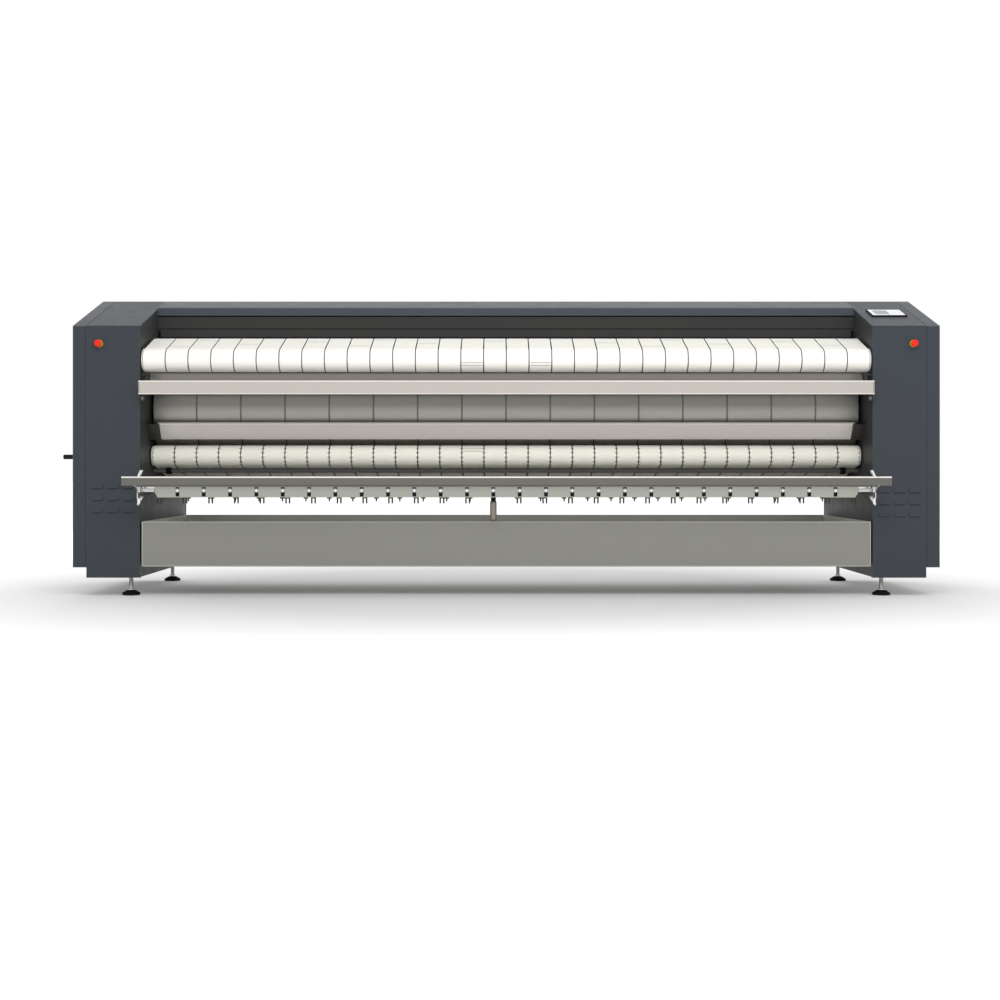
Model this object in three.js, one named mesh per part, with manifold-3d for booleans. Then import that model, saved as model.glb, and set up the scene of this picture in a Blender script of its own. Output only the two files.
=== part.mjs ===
// Flatwork ironer: a heated cylinder between two end housings, fed over a table of narrow belts
// at the front and returning the pressed linen over a guide rail into a bin below.
//
// Millimetres, +Z up, the operator stands on the -Y side. Pieces are worked out in the machine's
// own frame: X = 0 on its middle plane, Y = 0 on the front faces of the housings, Z = 0 on the floor.
// The last lines move that frame so that the origin is under the middle of the whole machine.
import * as THREE from 'three';
import { mergeVertices } from 'three/addons/utils/BufferGeometryUtils.js';
import Module from 'manifold-3d';

const wasm = await Module();
wasm.setup();

// ---------------------------------------------------------------- driving dimensions

const fitGap = 0.3;              // clearance between pieces that seat on each other
const runGap = 0.5;              // clearance round a turning piece

// end housings
const betweenFrames = 3346;      // clear width between the side frames
const frontPanelWidth = 245;
const sideCoverDepth = 60;
const coverSeam = 2;             // width of the shadow groove behind the side cover
const seamDepth = 6;
const coverSheet = 2;
const coverReturn = 30;          // folded edge of a cover
const framePlate = 6;
const frameFlange = 40;
const bodyDepth = 1050;
const bodyBottom = 84;           // underside of the housings above the floor
const sideCoverBottom = 131;
const overallHeight = 1404;
const frontDrop = 169;           // top edge of the front panels under the top
const slopeRun = 540;            // depth over which the top rises from the front edge
const bossLength = 14;
const bossWall = 13;

// louvres in the front panels
const louvreWidth = 50;
const louvreHeight = 22;
const louvrePitchX = 69.5;
const louvrePitchZ = 55;
const louvreReach = 8;
const louvreInset = 123;         // middle of a field from the side frame
const louvreCentreZ = { left: 450, right: 430 };

// heated cylinder and the rolls round it; their heights hang from the top of the housings
const cylinderRadius = 250;
const cylinderWall = 12;
const cylinderDepth = 455;       // axis behind the front faces
const cylinderDrop = 542;        // axis under the top
const cylinderEndGap = 13;       // cylinder end to side frame
const journalRadius = 40;
const journalBore = 25;
const beltThickness = 3;
const nipPlay = 2;
const rollJournalRadius = 15;
const rollEndGap = 12;
const pressRollRadius = 47;
const pressRollAngle = 108;      // degrees round the cylinder from straight back, over the top
const exitRollRadius = 46;
const exitRollAngle = 226.5;
const rearRollRadius = 45;
const rearRollInset = 165;       // axes of the rear rolls from the back of the housings
const rearUpperDrop = 189;
const rearLowerHeight = 515;

// cylinder bearings
const bearingFlangeRadius = 85;
const bearingFlange = 10;
const bearingBossRadius = 60;
const bearingBoss = 30;

// heater tube on the cylinder's axis
const heaterRadius = 18;
const heaterCapRadius = 48;
const heaterCap = 12;

// feed table
const beltCount = 32;
const beltGap = 4;
const beltEndGap = 13;           // outer belts to the side frames
const feedFrontRadius = 52;
const feedFrontDepth = 55;
const feedFrontRise = 219;       // above the cylinder's axis
const feedRearRadius = 27;
const feedRearDepth = 244;
const feedRearRise = 304;
const bedThickness = 34;
const bedGap = 6;                // bed to the feed rolls
const panTopY = 215;
const panTopRise = 19;           // above the front feed roll's axis
const panFaceY = 92;
const panFaceDrop = 55;          // top of the upright face under that axis
const panFaceHeight = 41;
const panFloor = 58;

// hood and rear cover between the housings
const hoodFrontY = 364;
const hoodLip = 31;              // height of the hood's front edge
const hoodReturn = 16;
const innerPanelY = 378;
const innerPanelGap = 5;         // under the hood's front edge
const innerPanelShelf = 62;
const flapShaftY = 384;
const flapShaftRise = 99;        // above the press roll's axis
const flapShaftGap = 7;          // flap shaft to the inner panel
const flapShaftRadius = 5;
const flapLength = 35;
const flapSheet = 2;
const rearCoverBottom = 440;
const upperTieY = 640;
const tieWidth = 60;
const tieSheet = 4;
const lowerTieBottom = 446;
const lowerTieHeight = 70;

// hand guard bar under the feed table
const guardEndGap = 6;           // ends of the bar inside the side frames
const guardDrop = 163;           // underside below the front feed roll's axis
const guardHeight = 63;
const guardFrontY = -70;
const guardDepth = 30;
const guardSheet = 3;
const guardArmInset = 41;
const guardArm = 6;
const guardPivotY = 22;
const guardPivotDrop = 69;
const guardPinRadius = 6;
const guardTab = { drop: 28, width: 24, sheet: 3 };   // switch tab under each end of the bar

// exit cover and stripping fingers
const exitCoverTopGap = 65;      // in front of the cylinder
const exitCoverTopDrop = 70;     // under the cylinder's axis
const exitCoverBottomGap = 17;
const exitCoverBottomDrop = 143;
const exitCoverLip = 26;
const exitCoverInset = 48;
const exitStrap = 4;
const fingerShaftGap = 17;       // axis in front of the cylinder
const fingerShaftDrop = 110;
const fingerShaftRadius = 10;
const fingerThickness = 8;
const fingerTipGap = 1;
const fingerTipAngle = 193;

// tie rod behind the exit roll, under the belts
const tieRodY = 280;
const tieRodDrop = 13;           // axis under the belts' lower run
const tieRodRadius = 10.5;

// linen guide rail and its carrier plate
const railOverhang = 37;         // ends of the rail beyond the side frames' inner faces
const railFrontY = -212;
const railTop = 548;
const railHeight = 44;
const railDepth = 34;
const railSheet = 3;
const railPivot = [32, 476];
const railPinRadius = 7;
const railArmInset = 29;
const railArm = 8;
const bracketTop = 500;          // hinge bracket below the rail, as seen from the front
const bracketBottom = 417;
const bracketNotch = [450, 476];
const bracketFrontY = -150;
const bracketDepth = 128;
const bracketTaper = 40;         // its rear edge is this short
const bracketSheet = 4;
const bracketFlange = 13;
const hookTop = 576;             // hook that stands up behind the rail
const hookLean = 22;
const hookSheet = 6;
const hookWidth = 22;
const hookFoot = 12;             // height of its welded end on the rail
const carrierInset = 92;
const carrierCorner = [14, 26];  // bevel of the plate's lower corners
const carrierPinRadius = 8;
const carrierPinDrop = 18;
const carrierTie = [60, 12];     // length and height of the strap between bracket and plate
const carrierFrontY = -112;
const carrierRearY = 8;
const carrierTop = 502;
const carrierBottom = 453;
const carrierSheet = 3;
const carrierReturn = 22;        // folded rear edge
const leverX = -59;
const leverPivot = [-85, 470];
const leverPinRadius = 5;
const leverStemRadius = 6;
const leverGripRadius = 15;
const leverGripTop = 436;
const leverBottom = 345;
const earSpread = 10;
const earThickness = 4;

// belt guide combs
const combForkCount = 28;
const combForkWidth = 20;
const combForkWire = 4;
const combEndGap = 77;           // outer forks to the side frames
const combHeight = 24;
const combSheet = 6;
const combFrontPlace = { y: 50, top: 476, tip: 422, legs: 2 };
const combRearPlace = { y: 720, drop: 35, reach: 45, legs: 1 };    // drop under the belts' lower run

// linen bin
const binSideGap = 9;
const binTop = 341;
const binFrontFloor = 136;
const binRearFloor = 286;
const binRearGap = 22;
const binSheet = 2;
const binRimInset = 40;

// levelling feet and base rails
const footInset = 57;            // stems from the side frames' inner faces
const footEndInset = 75;
const footPadRadius = 41;
const footPadHeight = 22;
const footStemRadius = 10;
const footNutRadius = 17;
const footNut = 11;
const baseRailWidth = 84;
const baseRailHeight = 60;
const baseRailSheet = 5;

// drive, in the left housing
const driveOffset = [-155, -225];   // crank shaft from the cylinder's axis
const driveShaftRadius = 15;
const bigPulleyRadius = 150;
const smallPulleyRadius = 37.5;
const pulleyWidth = 36;
const pulleyWeb = 10;
const pulleyRim = 14;
const pulleyHubRadius = 62;
const pulleyInset = 60;          // pulley's inner face from the side frame's inner face
const driveBeltWidth = 30;
const gearboxSize = 116;
const gearboxWidth = 90;
const motorRadius = 56;
const motorLength = 210;
const postRadius = 9;
const crankArmLength = 160;
const crankArmThickness = 8;
const crankClearance = 6;
const crankReach = 80;           // grip end beyond the side cover
const gripRadius = 11;
const gripPinRadius = 5;

// suction fan, in the right housing
const fanRearInset = 250;
const fanHeight = 850;
const fanRadius = 118;
const fanDepth = 120;
const fanSheet = 3;
const fanInletRadius = 70;
const fanBladeCount = 10;
const fanBladeLength = 36;
const fanBladeWidth = 60;
const fanHubRadius = 22;
const fanShaftRadius = 8;
const fanShaftSeat = 36;         // depth of the shaft in the motor
const fanDiscInset = 8;
const fanMotorRadius = 58;
const fanMotorLength = 100;
const spigotRadius = 40;
const spigotReach = 45;

// controls
const stopInset = 185;
const stopDrop = 82;             // under the top edge of the front panel
const stopCollarRadius = 19;
const stopCollar = 10;
const stopNeckRadius = 10.5;
const stopStemRadius = 6;
const stopButtonRadius = 18;
const stopButtonGap = 8;
const stopButton = 18;
const screenInset = 126;
const screenY = 256;
const screenWidth = 165;
const screenLength = 139;
const screenThickness = 7;
const screenBezel = 6;
// drop: its underside below the front feed roll's axis
const controlBox = { width: 110, depth: 170, height: 250, y: 60, drop: 311 };

// ---------------------------------------------------------------- derived places

const halfGap = betweenFrames / 2;
const spanHalf = halfGap - fitGap;                 // pieces that seat between the side frames
const bodyOuter = halfGap + frontPanelWidth;
const coverInner = bodyOuter + coverSeam;
const coverOuter = coverInner + sideCoverDepth;
const frontHeight = overallHeight - frontDrop;
const slope = (overallHeight - frontHeight) / slopeRun;
const slopeAngle = Math.atan(slope);
const slopeHeight = (y) => frontHeight + slope * Math.min(y, slopeRun);
const frameInset = coverSheet + fitGap;
const insideFlange = frameInset + framePlate + fitGap;
const outsidePlate = halfGap + framePlate + fitGap;
const bossEnd = halfGap + framePlate + bossLength;
const pinEnd = halfGap + framePlate - 1;
const rollHalfLength = halfGap - rollEndGap;
const cylinderHalf = halfGap - cylinderEndGap;
const pulleyFace = halfGap + pulleyInset;
const beltPitch = (2 * (halfGap - beltEndGap) + beltGap) / beltCount;
const beltsHalfWidth = halfGap - beltEndGap;
const combForkPitch = (2 * (halfGap - combEndGap)) / (combForkCount - 1);
const guardHalfWidth = halfGap - guardEndGap;
const guardArmX = halfGap - guardArmInset;
const exitCoverHalfWidth = halfGap - exitCoverInset;
const railHalfWidth = halfGap + railOverhang;
const railArmX = halfGap - railArmInset;
const carrierHalfWidth = halfGap - carrierInset;
const binHalfWidth = halfGap - binSideGap;
const binRearY = bodyDepth - binRearGap;
const footX = halfGap + footInset;
const footFrontY = footEndInset;
const footRearY = bodyDepth - footEndInset;
const louvreCentreX = halfGap + louvreInset;
const stopX = halfGap + stopInset;
const stopZ = frontHeight - stopDrop;
const screenX = halfGap + screenInset;
const fanCentre = [bodyDepth - fanRearInset, fanHeight];
const spigotCentre = [
  outsidePlate + fanDepth - fanSheet - spigotRadius, fanCentre[1] + fanRadius + fanSheet - spigotRadius,
];

// places in the machine frame as [y, z]
const cylinderCentre = [cylinderDepth, overallHeight - cylinderDrop];
const rearUpperCentre = [bodyDepth - rearRollInset, overallHeight - rearUpperDrop];
const rearLowerCentre = [bodyDepth - rearRollInset, rearLowerHeight];
const feedFrontCentre = [feedFrontDepth, cylinderCentre[1] + feedFrontRise];
const feedRearCentre = [feedRearDepth, cylinderCentre[1] + feedRearRise];
const driveCentre = [cylinderCentre[0] + driveOffset[0], cylinderCentre[1] + driveOffset[1]];
const guardPivot = [guardPivotY, feedFrontCentre[1] - guardPivotDrop];
const guardBottom = feedFrontCentre[1] - guardDrop;
const cylinderFront = cylinderCentre[0] - cylinderRadius;
const exitCoverTop = [cylinderFront - exitCoverTopGap, cylinderCentre[1] - exitCoverTopDrop];
const exitCoverBottom = [cylinderFront - exitCoverBottomGap, cylinderCentre[1] - exitCoverBottomDrop];
const fingerShaftCentre = [cylinderFront - fingerShaftGap, cylinderCentre[1] - fingerShaftDrop];

// a point at a distance from the cylinder's axis, at an angle from straight back
function aroundCylinder(distance, degrees) {
  const a = THREE.MathUtils.degToRad(degrees);
  return [cylinderCentre[0] + distance * Math.cos(a), cylinderCentre[1] + distance * Math.sin(a)];
}
const nipSpacing = cylinderRadius + beltThickness + 2 * runGap + nipPlay;
const pressCentre = aroundCylinder(nipSpacing + pressRollRadius, pressRollAngle);
const exitCentre = aroundCylinder(nipSpacing + exitRollRadius, exitRollAngle);
const flapShaftCentre = [flapShaftY, pressCentre[1] + flapShaftRise];

// height at a distance under the belts' lower run, between the exit roll and the lower rear roll
function underBelts(y, distance) {
  const [dy, dz] = [rearLowerCentre[0] - exitCentre[0], rearLowerCentre[1] - exitCentre[1]];
  const fromAxes = (exitRollRadius + beltThickness + distance) * (Math.hypot(dy, dz) / dy);
  return exitCentre[1] + (dz / dy) * (y - exitCentre[0]) - fromAxes;
}
const tieRodCentre = [tieRodY, underBelts(tieRodY, tieRodDrop)];

// ---------------------------------------------------------------- materials

const finish = (color, roughness, metalness) =>
  new THREE.MeshStandardMaterial({ color, roughness, metalness });
const slatePaint = finish(0x464a52, 0.45, 0.2);
const darkPaint = finish(0x2f3133, 0.6, 0.2);
const stainless = finish(0xb8b4ad, 0.35, 0.9);
const polishedSteel = finish(0x9a9890, 0.3, 0.9);
const machinedSteel = finish(0x8c8c8c, 0.4, 0.8);
const zincPlate = finish(0xc8c8c4, 0.35, 0.8);
const feltWhite = finish(0xf2f1ec, 0.9, 0);
const feltCream = finish(0xdad9cc, 0.9, 0);
const castIron = finish(0x3d4a52, 0.6, 0.4);
const rubberBlack = finish(0x161616, 0.8, 0);
const plasticRed = finish(0xd8281c, 0.4, 0);
const plasticYellow = finish(0xe6c01e, 0.5, 0);
const plasticGrey = finish(0xb9bcc0, 0.5, 0);

// ---------------------------------------------------------------- geometry helpers

// a three.js geometry as a manifold solid, with only its positions kept
function solid(geometry) {
  const bare = geometry.clone();
  for (const name of Object.keys(bare.attributes)) {
    if (name !== 'position') bare.deleteAttribute(name);
  }
  const merged = mergeVertices(bare, 1e-3);
  return new wasm.Manifold(new wasm.Mesh({
    numProp: 3,
    vertProperties: new Float32Array(merged.attributes.position.array),
    triVerts: new Uint32Array(merged.index.array),
  }));
}

function geometryOf(manifold) {
  const mesh = manifold.getMesh();
  const geometry = new THREE.BufferGeometry();
  geometry.setAttribute('position', new THREE.BufferAttribute(new Float32Array(mesh.vertProperties), 3));
  geometry.setIndex(new THREE.BufferAttribute(new Uint32Array(mesh.triVerts), 1));
  geometry.computeVertexNormals();
  return geometry;
}

// the first geometry with the others joined on or cut away, in the order of the steps
function carve(first, ...steps) {
  let body = solid(first);
  for (const { join = [], cut = [] } of steps) {
    for (const g of join) body = body.add(solid(g));
    for (const g of cut) body = body.subtract(solid(g));
  }
  return geometryOf(body);
}

function box(x0, x1, y0, y1, z0, z1) {
  const g = new THREE.BoxGeometry(Math.abs(x1 - x0), Math.abs(y1 - y0), Math.abs(z1 - z0));
  return g.translate((x0 + x1) / 2, (y0 + y1) / 2, (z0 + z1) / 2);
}

const shapeOf = (points) => new THREE.Shape(points.map(([a, b]) => new THREE.Vector2(a, b)));

// an outline of [y, z] points, extruded along X between two places
function prismX(points, xa, xb, holes = []) {
  const shape = shapeOf(points);
  shape.holes = holes.map((h) => shapeOf(h));
  const g = new THREE.ExtrudeGeometry(shape, { depth: Math.abs(xb - xa), bevelEnabled: false });
  const axes = new THREE.Matrix4().makeBasis(
    new THREE.Vector3(0, 1, 0), new THREE.Vector3(0, 0, 1), new THREE.Vector3(1, 0, 0));
  return g.applyMatrix4(axes).translate(Math.min(xa, xb), 0, 0);
}

// an outline of [x, z] points, extruded along Y between two places
function prismY(points, ya, yb) {
  const g = new THREE.ExtrudeGeometry(shapeOf(points), { depth: Math.abs(yb - ya), bevelEnabled: false });
  return g.rotateX(Math.PI / 2).translate(0, Math.max(ya, yb), 0);
}

// a profile of [radius, along] points as a turned solid, on an axis along X, Y or Z
function lathe(profile, sides) {
  return new THREE.LatheGeometry(profile.map(([r, a]) => new THREE.Vector2(r, a)), sides);
}
const turnedX = (profile, [y, z], sides = 16) =>
  lathe(profile, sides).rotateZ(-Math.PI / 2).translate(0, y, z);
const turnedY = (profile, [x, z], sides = 12) => lathe(profile, sides).translate(x, 0, z);
const turnedZ = (profile, [x, y], sides = 12) =>
  lathe(profile, sides).rotateX(Math.PI / 2).translate(x, y, 0);

// plain round bars between two places
const barProfile = (r, a, b) => {
  const [lo, hi] = [Math.min(a, b), Math.max(a, b)];
  return [[0, lo], [r, lo], [r, hi], [0, hi]];
};
const rodX = (r, xa, xb, centre, sides) => turnedX(barProfile(r, xa, xb), centre, sides);
const rodY = (r, ya, yb, centre, sides) => turnedY(barProfile(r, ya, yb), centre, sides);
const rodZ = (r, za, zb, centre, sides) => turnedZ(barProfile(r, za, zb), centre, sides);

// radius of a faceted bore whose flats clear a round piece
const clearBore = (r, gap, sides) => (r + gap) / Math.cos(Math.PI / sides);

// a convex outline, listed anticlockwise, moved in by a distance on every side
function inset(points, distance) {
  const n = points.length;
  const edges = points.map((p, i) => {
    const q = points[(i + 1) % n];
    const length = Math.hypot(q[0] - p[0], q[1] - p[1]);
    const normal = [-(q[1] - p[1]) / length, (q[0] - p[0]) / length];
    return { normal, offset: normal[0] * p[0] + normal[1] * p[1] + distance };
  });
  return edges.map((b, i) => {
    const a = edges[(i + n - 1) % n];
    const det = a.normal[0] * b.normal[1] - a.normal[1] * b.normal[0];
    return [
      (a.offset * b.normal[1] - b.offset * a.normal[1]) / det,
      (b.offset * a.normal[0] - a.offset * b.normal[0]) / det,
    ];
  });
}

// an open line of [y, z] points as a sheet of the given thickness, laid to the line's left
function sheetSection(line, thickness) {
  const sides = line.slice(1).map((q, i) => {
    const p = line[i];
    const length = Math.hypot(q[0] - p[0], q[1] - p[1]);
    return [-(q[1] - p[1]) / length, (q[0] - p[0]) / length];
  });
  const back = line.map((p, i) => {
    const a = sides[Math.max(i - 1, 0)];
    const b = sides[Math.min(i, sides.length - 1)];
    const k = thickness / (1 + a[0] * b[0] + a[1] * b[1]);
    return [p[0] + (a[0] + b[0]) * k, p[1] + (a[1] + b[1]) * k];
  });
  return [...line, ...back.reverse()];
}

// a channel open to the rear, as a section line for sheetSection
const rearChannel = (front, rear, bottom, top) =>
  [[rear, top], [front, top], [front, bottom], [rear, bottom]];

// The closed path of a belt face round a list of rolls, anticlockwise in the [y, z] plane.
// A roll with turn -1 lies outside the loop. The path keeps the given distance off each roll
// on the flats between its points too.
function beltPath(rolls, distances) {
  const count = rolls.length;
  const radius = (k) => rolls[k % count].turn * (rolls[k % count].radius + distances[k % count]);
  const leave = rolls.map((roll, i) => {
    const next = rolls[(i + 1) % count];
    const dy = next.centre[0] - roll.centre[0];
    const dz = next.centre[1] - roll.centre[1];
    return Math.atan2(dz, dy) - Math.acos((radius(i) - radius(i + 1)) / Math.hypot(dy, dz));
  });
  const path = [];
  rolls.forEach((roll, i) => {
    const from = leave[(i + count - 1) % count];
    const turned = ((leave[i] - from) * roll.turn) % (2 * Math.PI);
    const sweep = turned < 0 ? turned + 2 * Math.PI : turned;
    const r = radius(i) / Math.cos(sweep / roll.steps / 2);
    for (let k = 0; k <= roll.steps; k++) {
      const a = from + (roll.turn * sweep * k) / roll.steps;
      path.push([roll.centre[0] + r * Math.cos(a), roll.centre[1] + r * Math.sin(a)]);
    }
  });
  return path;
}

// a belt of the given thickness round its rolls, from one side to the other
function beltLoop(rolls, thickness, xa, xb) {
  const inner = rolls.map((roll) => runGap + (roll.turn < 0 ? thickness : 0));
  const outer = rolls.map((roll) => runGap + (roll.turn < 0 ? 0 : thickness));
  return prismX(beltPath(rolls, outer), xa, xb, [beltPath(rolls, inner)]);
}

// ---------------------------------------------------------------- the scene

const machine = new THREE.Group();
const bothSides = [['left', -1], ['right', 1]];

function piece(name, geometry, material) {
  const mesh = new THREE.Mesh(geometry, material);
  mesh.name = name;
  machine.add(mesh);
  return mesh;
}

// ---------------------------------------------------------------- end housings

// side outline of a housing above a given underside, listed anticlockwise
const housingOutline = (bottom) => [
  [0, bottom], [bodyDepth, bottom], [bodyDepth, overallHeight], [slopeRun, overallHeight], [0, frontHeight],
];

const rollSeats = [
  pressCentre, exitCentre, rearUpperCentre, rearLowerCentre, feedFrontCentre, feedRearCentre,
];
const pinSeats = [
  [guardPivot, guardPinRadius],
  [railPivot, railPinRadius],
  [flapShaftCentre, flapShaftRadius],
  [fingerShaftCentre, fingerShaftRadius],
];

// pressed plate with a flange all round, a bearing boss for each roll and holes for the shafts
function sideFrame(side) {
  const outline = inset(housingOutline(bodyBottom), frameInset);
  const plateIn = side * (halfGap - 1);
  const plateOut = side * (halfGap + framePlate + 1);
  const flangeEnd = halfGap + frameFlange;
  const seats = side < 0 ? [...rollSeats, driveCentre] : rollSeats;
  const sides = 6;
  const bore = clearBore(rollJournalRadius, fitGap, sides);
  const boss = (centre) =>
    rodX(rollJournalRadius + bossWall, side * (halfGap + 1), side * bossEnd, centre, sides);
  const holes = [
    rodX(bearingBossRadius - 4, plateIn, plateOut, cylinderCentre, 16),
    ...pinSeats.map(([centre, r]) => rodX(clearBore(r, fitGap, sides), plateIn, plateOut, centre, sides)),
  ];
  if (side > 0) holes.push(rodX(fanInletRadius, plateIn, plateOut, fanCentre, 16));
  return carve(
    prismX(outline, side * halfGap, side * flangeEnd),
    { cut: [prismX(inset(outline, framePlate), side * (halfGap + framePlate), side * (flangeEnd + 1))] },
    { join: seats.map(boss) },
    { cut: [...seats.map((centre) => rodX(bore, plateIn, side * (bossEnd + 1), centre, sides)), ...holes] },
  );
}

// one pressed louvre, open at its lower edge: the scoop and the space under it
function louvre(x, z) {
  const [top, bottom] = [z + louvreHeight / 2, z - louvreHeight / 2];
  const scoop = [[coverSheet / 2, bottom], [coverSheet / 2, top], [-louvreReach, bottom]];
  const inside = [
    [2 * coverSheet + 1, bottom - 1], [2 * coverSheet + 1, top - coverSheet],
    [coverSheet - louvreReach, bottom - 1],
  ];
  const half = louvreWidth / 2;
  return {
    join: prismX(scoop, x - half, x + half),
    cut: prismX(inside, x - half + coverSheet, x + half - coverSheet),
  };
}

function frontPanel(word, side) {
  const top = frontHeight - coverSheet / Math.cos(slopeAngle) - fitGap;
  const outer = side * bodyOuter;
  const scoops = [];
  for (let i = -1; i <= 1; i++) {
    for (let k = -1; k <= 1; k++) {
      scoops.push(louvre(side * louvreCentreX + i * louvrePitchX, louvreCentreZ[word] + k * louvrePitchZ));
    }
  }
  return carve(
    box(side * halfGap, outer, 0, coverSheet, bodyBottom, top),
    {
      join: [
        box(outer - side * coverSheet, outer, 0, coverReturn, bodyBottom, top),
        box(side * halfGap, outer, 0, coverReturn, bodyBottom, bodyBottom + coverSheet),
        ...scoops.map((s) => s.join),
      ],
    },
    {
      cut: [
        ...scoops.map((s) => s.cut),
        rodY(clearBore(stopNeckRadius, fitGap, 16), -1, coverSheet + 1, [side * stopX, stopZ], 16),
      ],
    },
  );
}

function topCover(side) {
  const line = [[bodyDepth, overallHeight], [slopeRun, overallHeight], [0, frontHeight]];
  const start = coverReturn + coverSheet;
  const edge = [
    [start, slopeHeight(start)], [start, slopeHeight(start) - coverReturn],
    [slopeRun, overallHeight - coverReturn], [bodyDepth - start, overallHeight - coverReturn],
    [bodyDepth - start, overallHeight], [slopeRun, overallHeight],
  ];
  return carve(
    prismX(sheetSection(line, coverSheet), side * halfGap, side * bodyOuter),
    { join: [prismX(edge, side * (bodyOuter - coverSheet), side * bodyOuter)] },
  );
}

function rearPanel(side) {
  const top = overallHeight - coverSheet - fitGap;
  const outer = side * bodyOuter;
  const bore = clearBore(spigotRadius, fitGap, 12);
  const cut = side > 0
    ? [rodY(bore, bodyDepth - coverSheet - 1, bodyDepth + 1, spigotCentre, 12)]
    : [];
  return carve(
    box(side * halfGap, outer, bodyDepth - coverSheet, bodyDepth, bodyBottom, top),
    { join: [box(outer - side * coverSheet, outer, bodyDepth - coverReturn, bodyDepth, bodyBottom, top)] },
    { cut },
  );
}

// deep cover on the housing's outer side, with a set-back rim that leaves a shadow groove
function sideCover(side) {
  const outline = housingOutline(sideCoverBottom);
  const rimWidth = 8;
  const [sheetFront, sheetBack] = [side * (coverInner + coverSheet), side * (coverOuter - coverSheet)];
  const shaftHole = side < 0
    ? [rodX(driveShaftRadius + 3, sheetBack - side, side * (coverOuter + 1), driveCentre, 24)]
    : [];
  return carve(
    prismX(outline, side * coverInner, side * coverOuter),
    { join: [prismX(inset(outline, seamDepth), side * (bodyOuter + fitGap), side * (coverInner + 1))] },
    {
      cut: [
        prismX(inset(outline, coverSheet), sheetFront, sheetBack),
        prismX(inset(outline, seamDepth + rimWidth), side * bodyOuter, sheetFront + side),
        ...shaftHole,
      ],
    },
  );
}

const baseRailBottom = bodyBottom + insideFlange;

// U-shaped rail standing on the side frame's lower flange, drilled for the feet
function baseRail(side) {
  const [xa, xb] = [side * outsidePlate, side * (outsidePlate + baseRailWidth)];
  const [ya, yb] = [insideFlange, bodyDepth - insideFlange];
  const bore = clearBore(footStemRadius, fitGap, 16);
  return carve(
    box(xa, xb, ya, yb, baseRailBottom, baseRailBottom + baseRailHeight),
    {
      cut: [
        box(xa + side * baseRailSheet, xb - side * baseRailSheet, ya - 1, yb + 1,
          baseRailBottom + baseRailSheet, baseRailBottom + baseRailHeight + 1),
        ...[footFrontY, footRearY].map((y) =>
          rodZ(bore, baseRailBottom - 1, baseRailBottom + baseRailSheet + 1, [side * footX, y], 16)),
      ],
    },
  );
}

// levelling foot: rubber pad, stem, lock nut under the rail and nut inside it
function foot(x, y) {
  const under = baseRailBottom - fitGap;
  const over = baseRailBottom + baseRailSheet + fitGap;
  const pad = [
    [0, 0], [footPadRadius, 0], [footPadRadius, footPadHeight * 0.45],
    [footPadRadius * 0.6, footPadHeight], [0, footPadHeight],
  ];
  return carve(turnedZ(pad, [x, y], 10), {
    join: [
      rodZ(footStemRadius, footPadHeight / 2, over + footNut + 6, [x, y], 8),
      rodZ(footNutRadius, under - footNut, under, [x, y], 6),
      rodZ(footNutRadius, over, over + footNut, [x, y], 6),
    ],
  });
}

for (const [word, side] of bothSides) {
  piece(`side_frame_${word}`, sideFrame(side), slatePaint);
  piece(`front_panel_${word}`, frontPanel(word, side), slatePaint);
  piece(`top_cover_${word}`, topCover(side), slatePaint);
  piece(`rear_panel_${word}`, rearPanel(side), slatePaint);
  piece(`side_cover_${word}`, sideCover(side), slatePaint);
  piece(`base_rail_${word}`, baseRail(side), zincPlate);
  piece(`foot_front_${word}`, foot(side * footX, footFrontY), rubberBlack);
  piece(`foot_rear_${word}`, foot(side * footX, footRearY), rubberBlack);
}

// ---------------------------------------------------------------- cross members and hood

const acrossFrames = (line, sheet) => prismX(sheetSection(line, sheet), -spanHalf, spanHalf);
const hoodTop = overallHeight - coverSheet - fitGap;
const tieRear = bodyDepth - coverSheet - fitGap;

const lowerTie = rearChannel(tieRear - tieWidth, tieRear, lowerTieBottom, lowerTieBottom + lowerTieHeight);
const upperTie = [
  [upperTieY + tieWidth, hoodTop - tieWidth], [upperTieY + tieWidth, hoodTop],
  [upperTieY, hoodTop], [upperTieY, hoodTop - tieWidth],
];
const hoodFrontBottom = slopeHeight(hoodFrontY) - hoodLip;
const hoodLine = [
  [bodyDepth, overallHeight], [slopeRun, overallHeight], [hoodFrontY, slopeHeight(hoodFrontY)],
  [hoodFrontY, hoodFrontBottom], [hoodFrontY + hoodReturn, hoodFrontBottom],
];
const innerPanelTop = hoodFrontBottom - innerPanelGap;
const innerPanelBottom = flapShaftCentre[1] + flapShaftGap;
const innerPanelLine = [
  [innerPanelY + innerPanelShelf, innerPanelTop],
  [innerPanelY, innerPanelTop], [innerPanelY, innerPanelBottom],
];

// thin flap hanging from a round shaft in front of the nip
function nipFlap() {
  const [y, z] = flapShaftCentre;
  const faceY = y - flapShaftRadius;
  return carve(rodX(flapShaftRadius, -pinEnd, pinEnd, flapShaftCentre, 12), {
    join: [box(-rollHalfLength, rollHalfLength, faceY, faceY + flapSheet, z - flapLength, z)],
  });
}

piece('rear_tie_beam', acrossFrames(lowerTie, tieSheet), slatePaint);
piece('upper_tie_beam', acrossFrames(upperTie, tieSheet), slatePaint);
piece('tie_rod', rodX(tieRodRadius, -spanHalf, spanHalf, tieRodCentre, 16), darkPaint);
piece('hood', acrossFrames(hoodLine, coverSheet), slatePaint);
piece('hood_inner_panel', acrossFrames(innerPanelLine, coverSheet), darkPaint);
piece('nip_flap', nipFlap(), darkPaint);
piece('rear_cover', box(-spanHalf, spanHalf, bodyDepth - coverSheet, bodyDepth, rearCoverBottom, hoodTop),
  slatePaint);

// ---------------------------------------------------------------- cylinder and rolls

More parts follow.
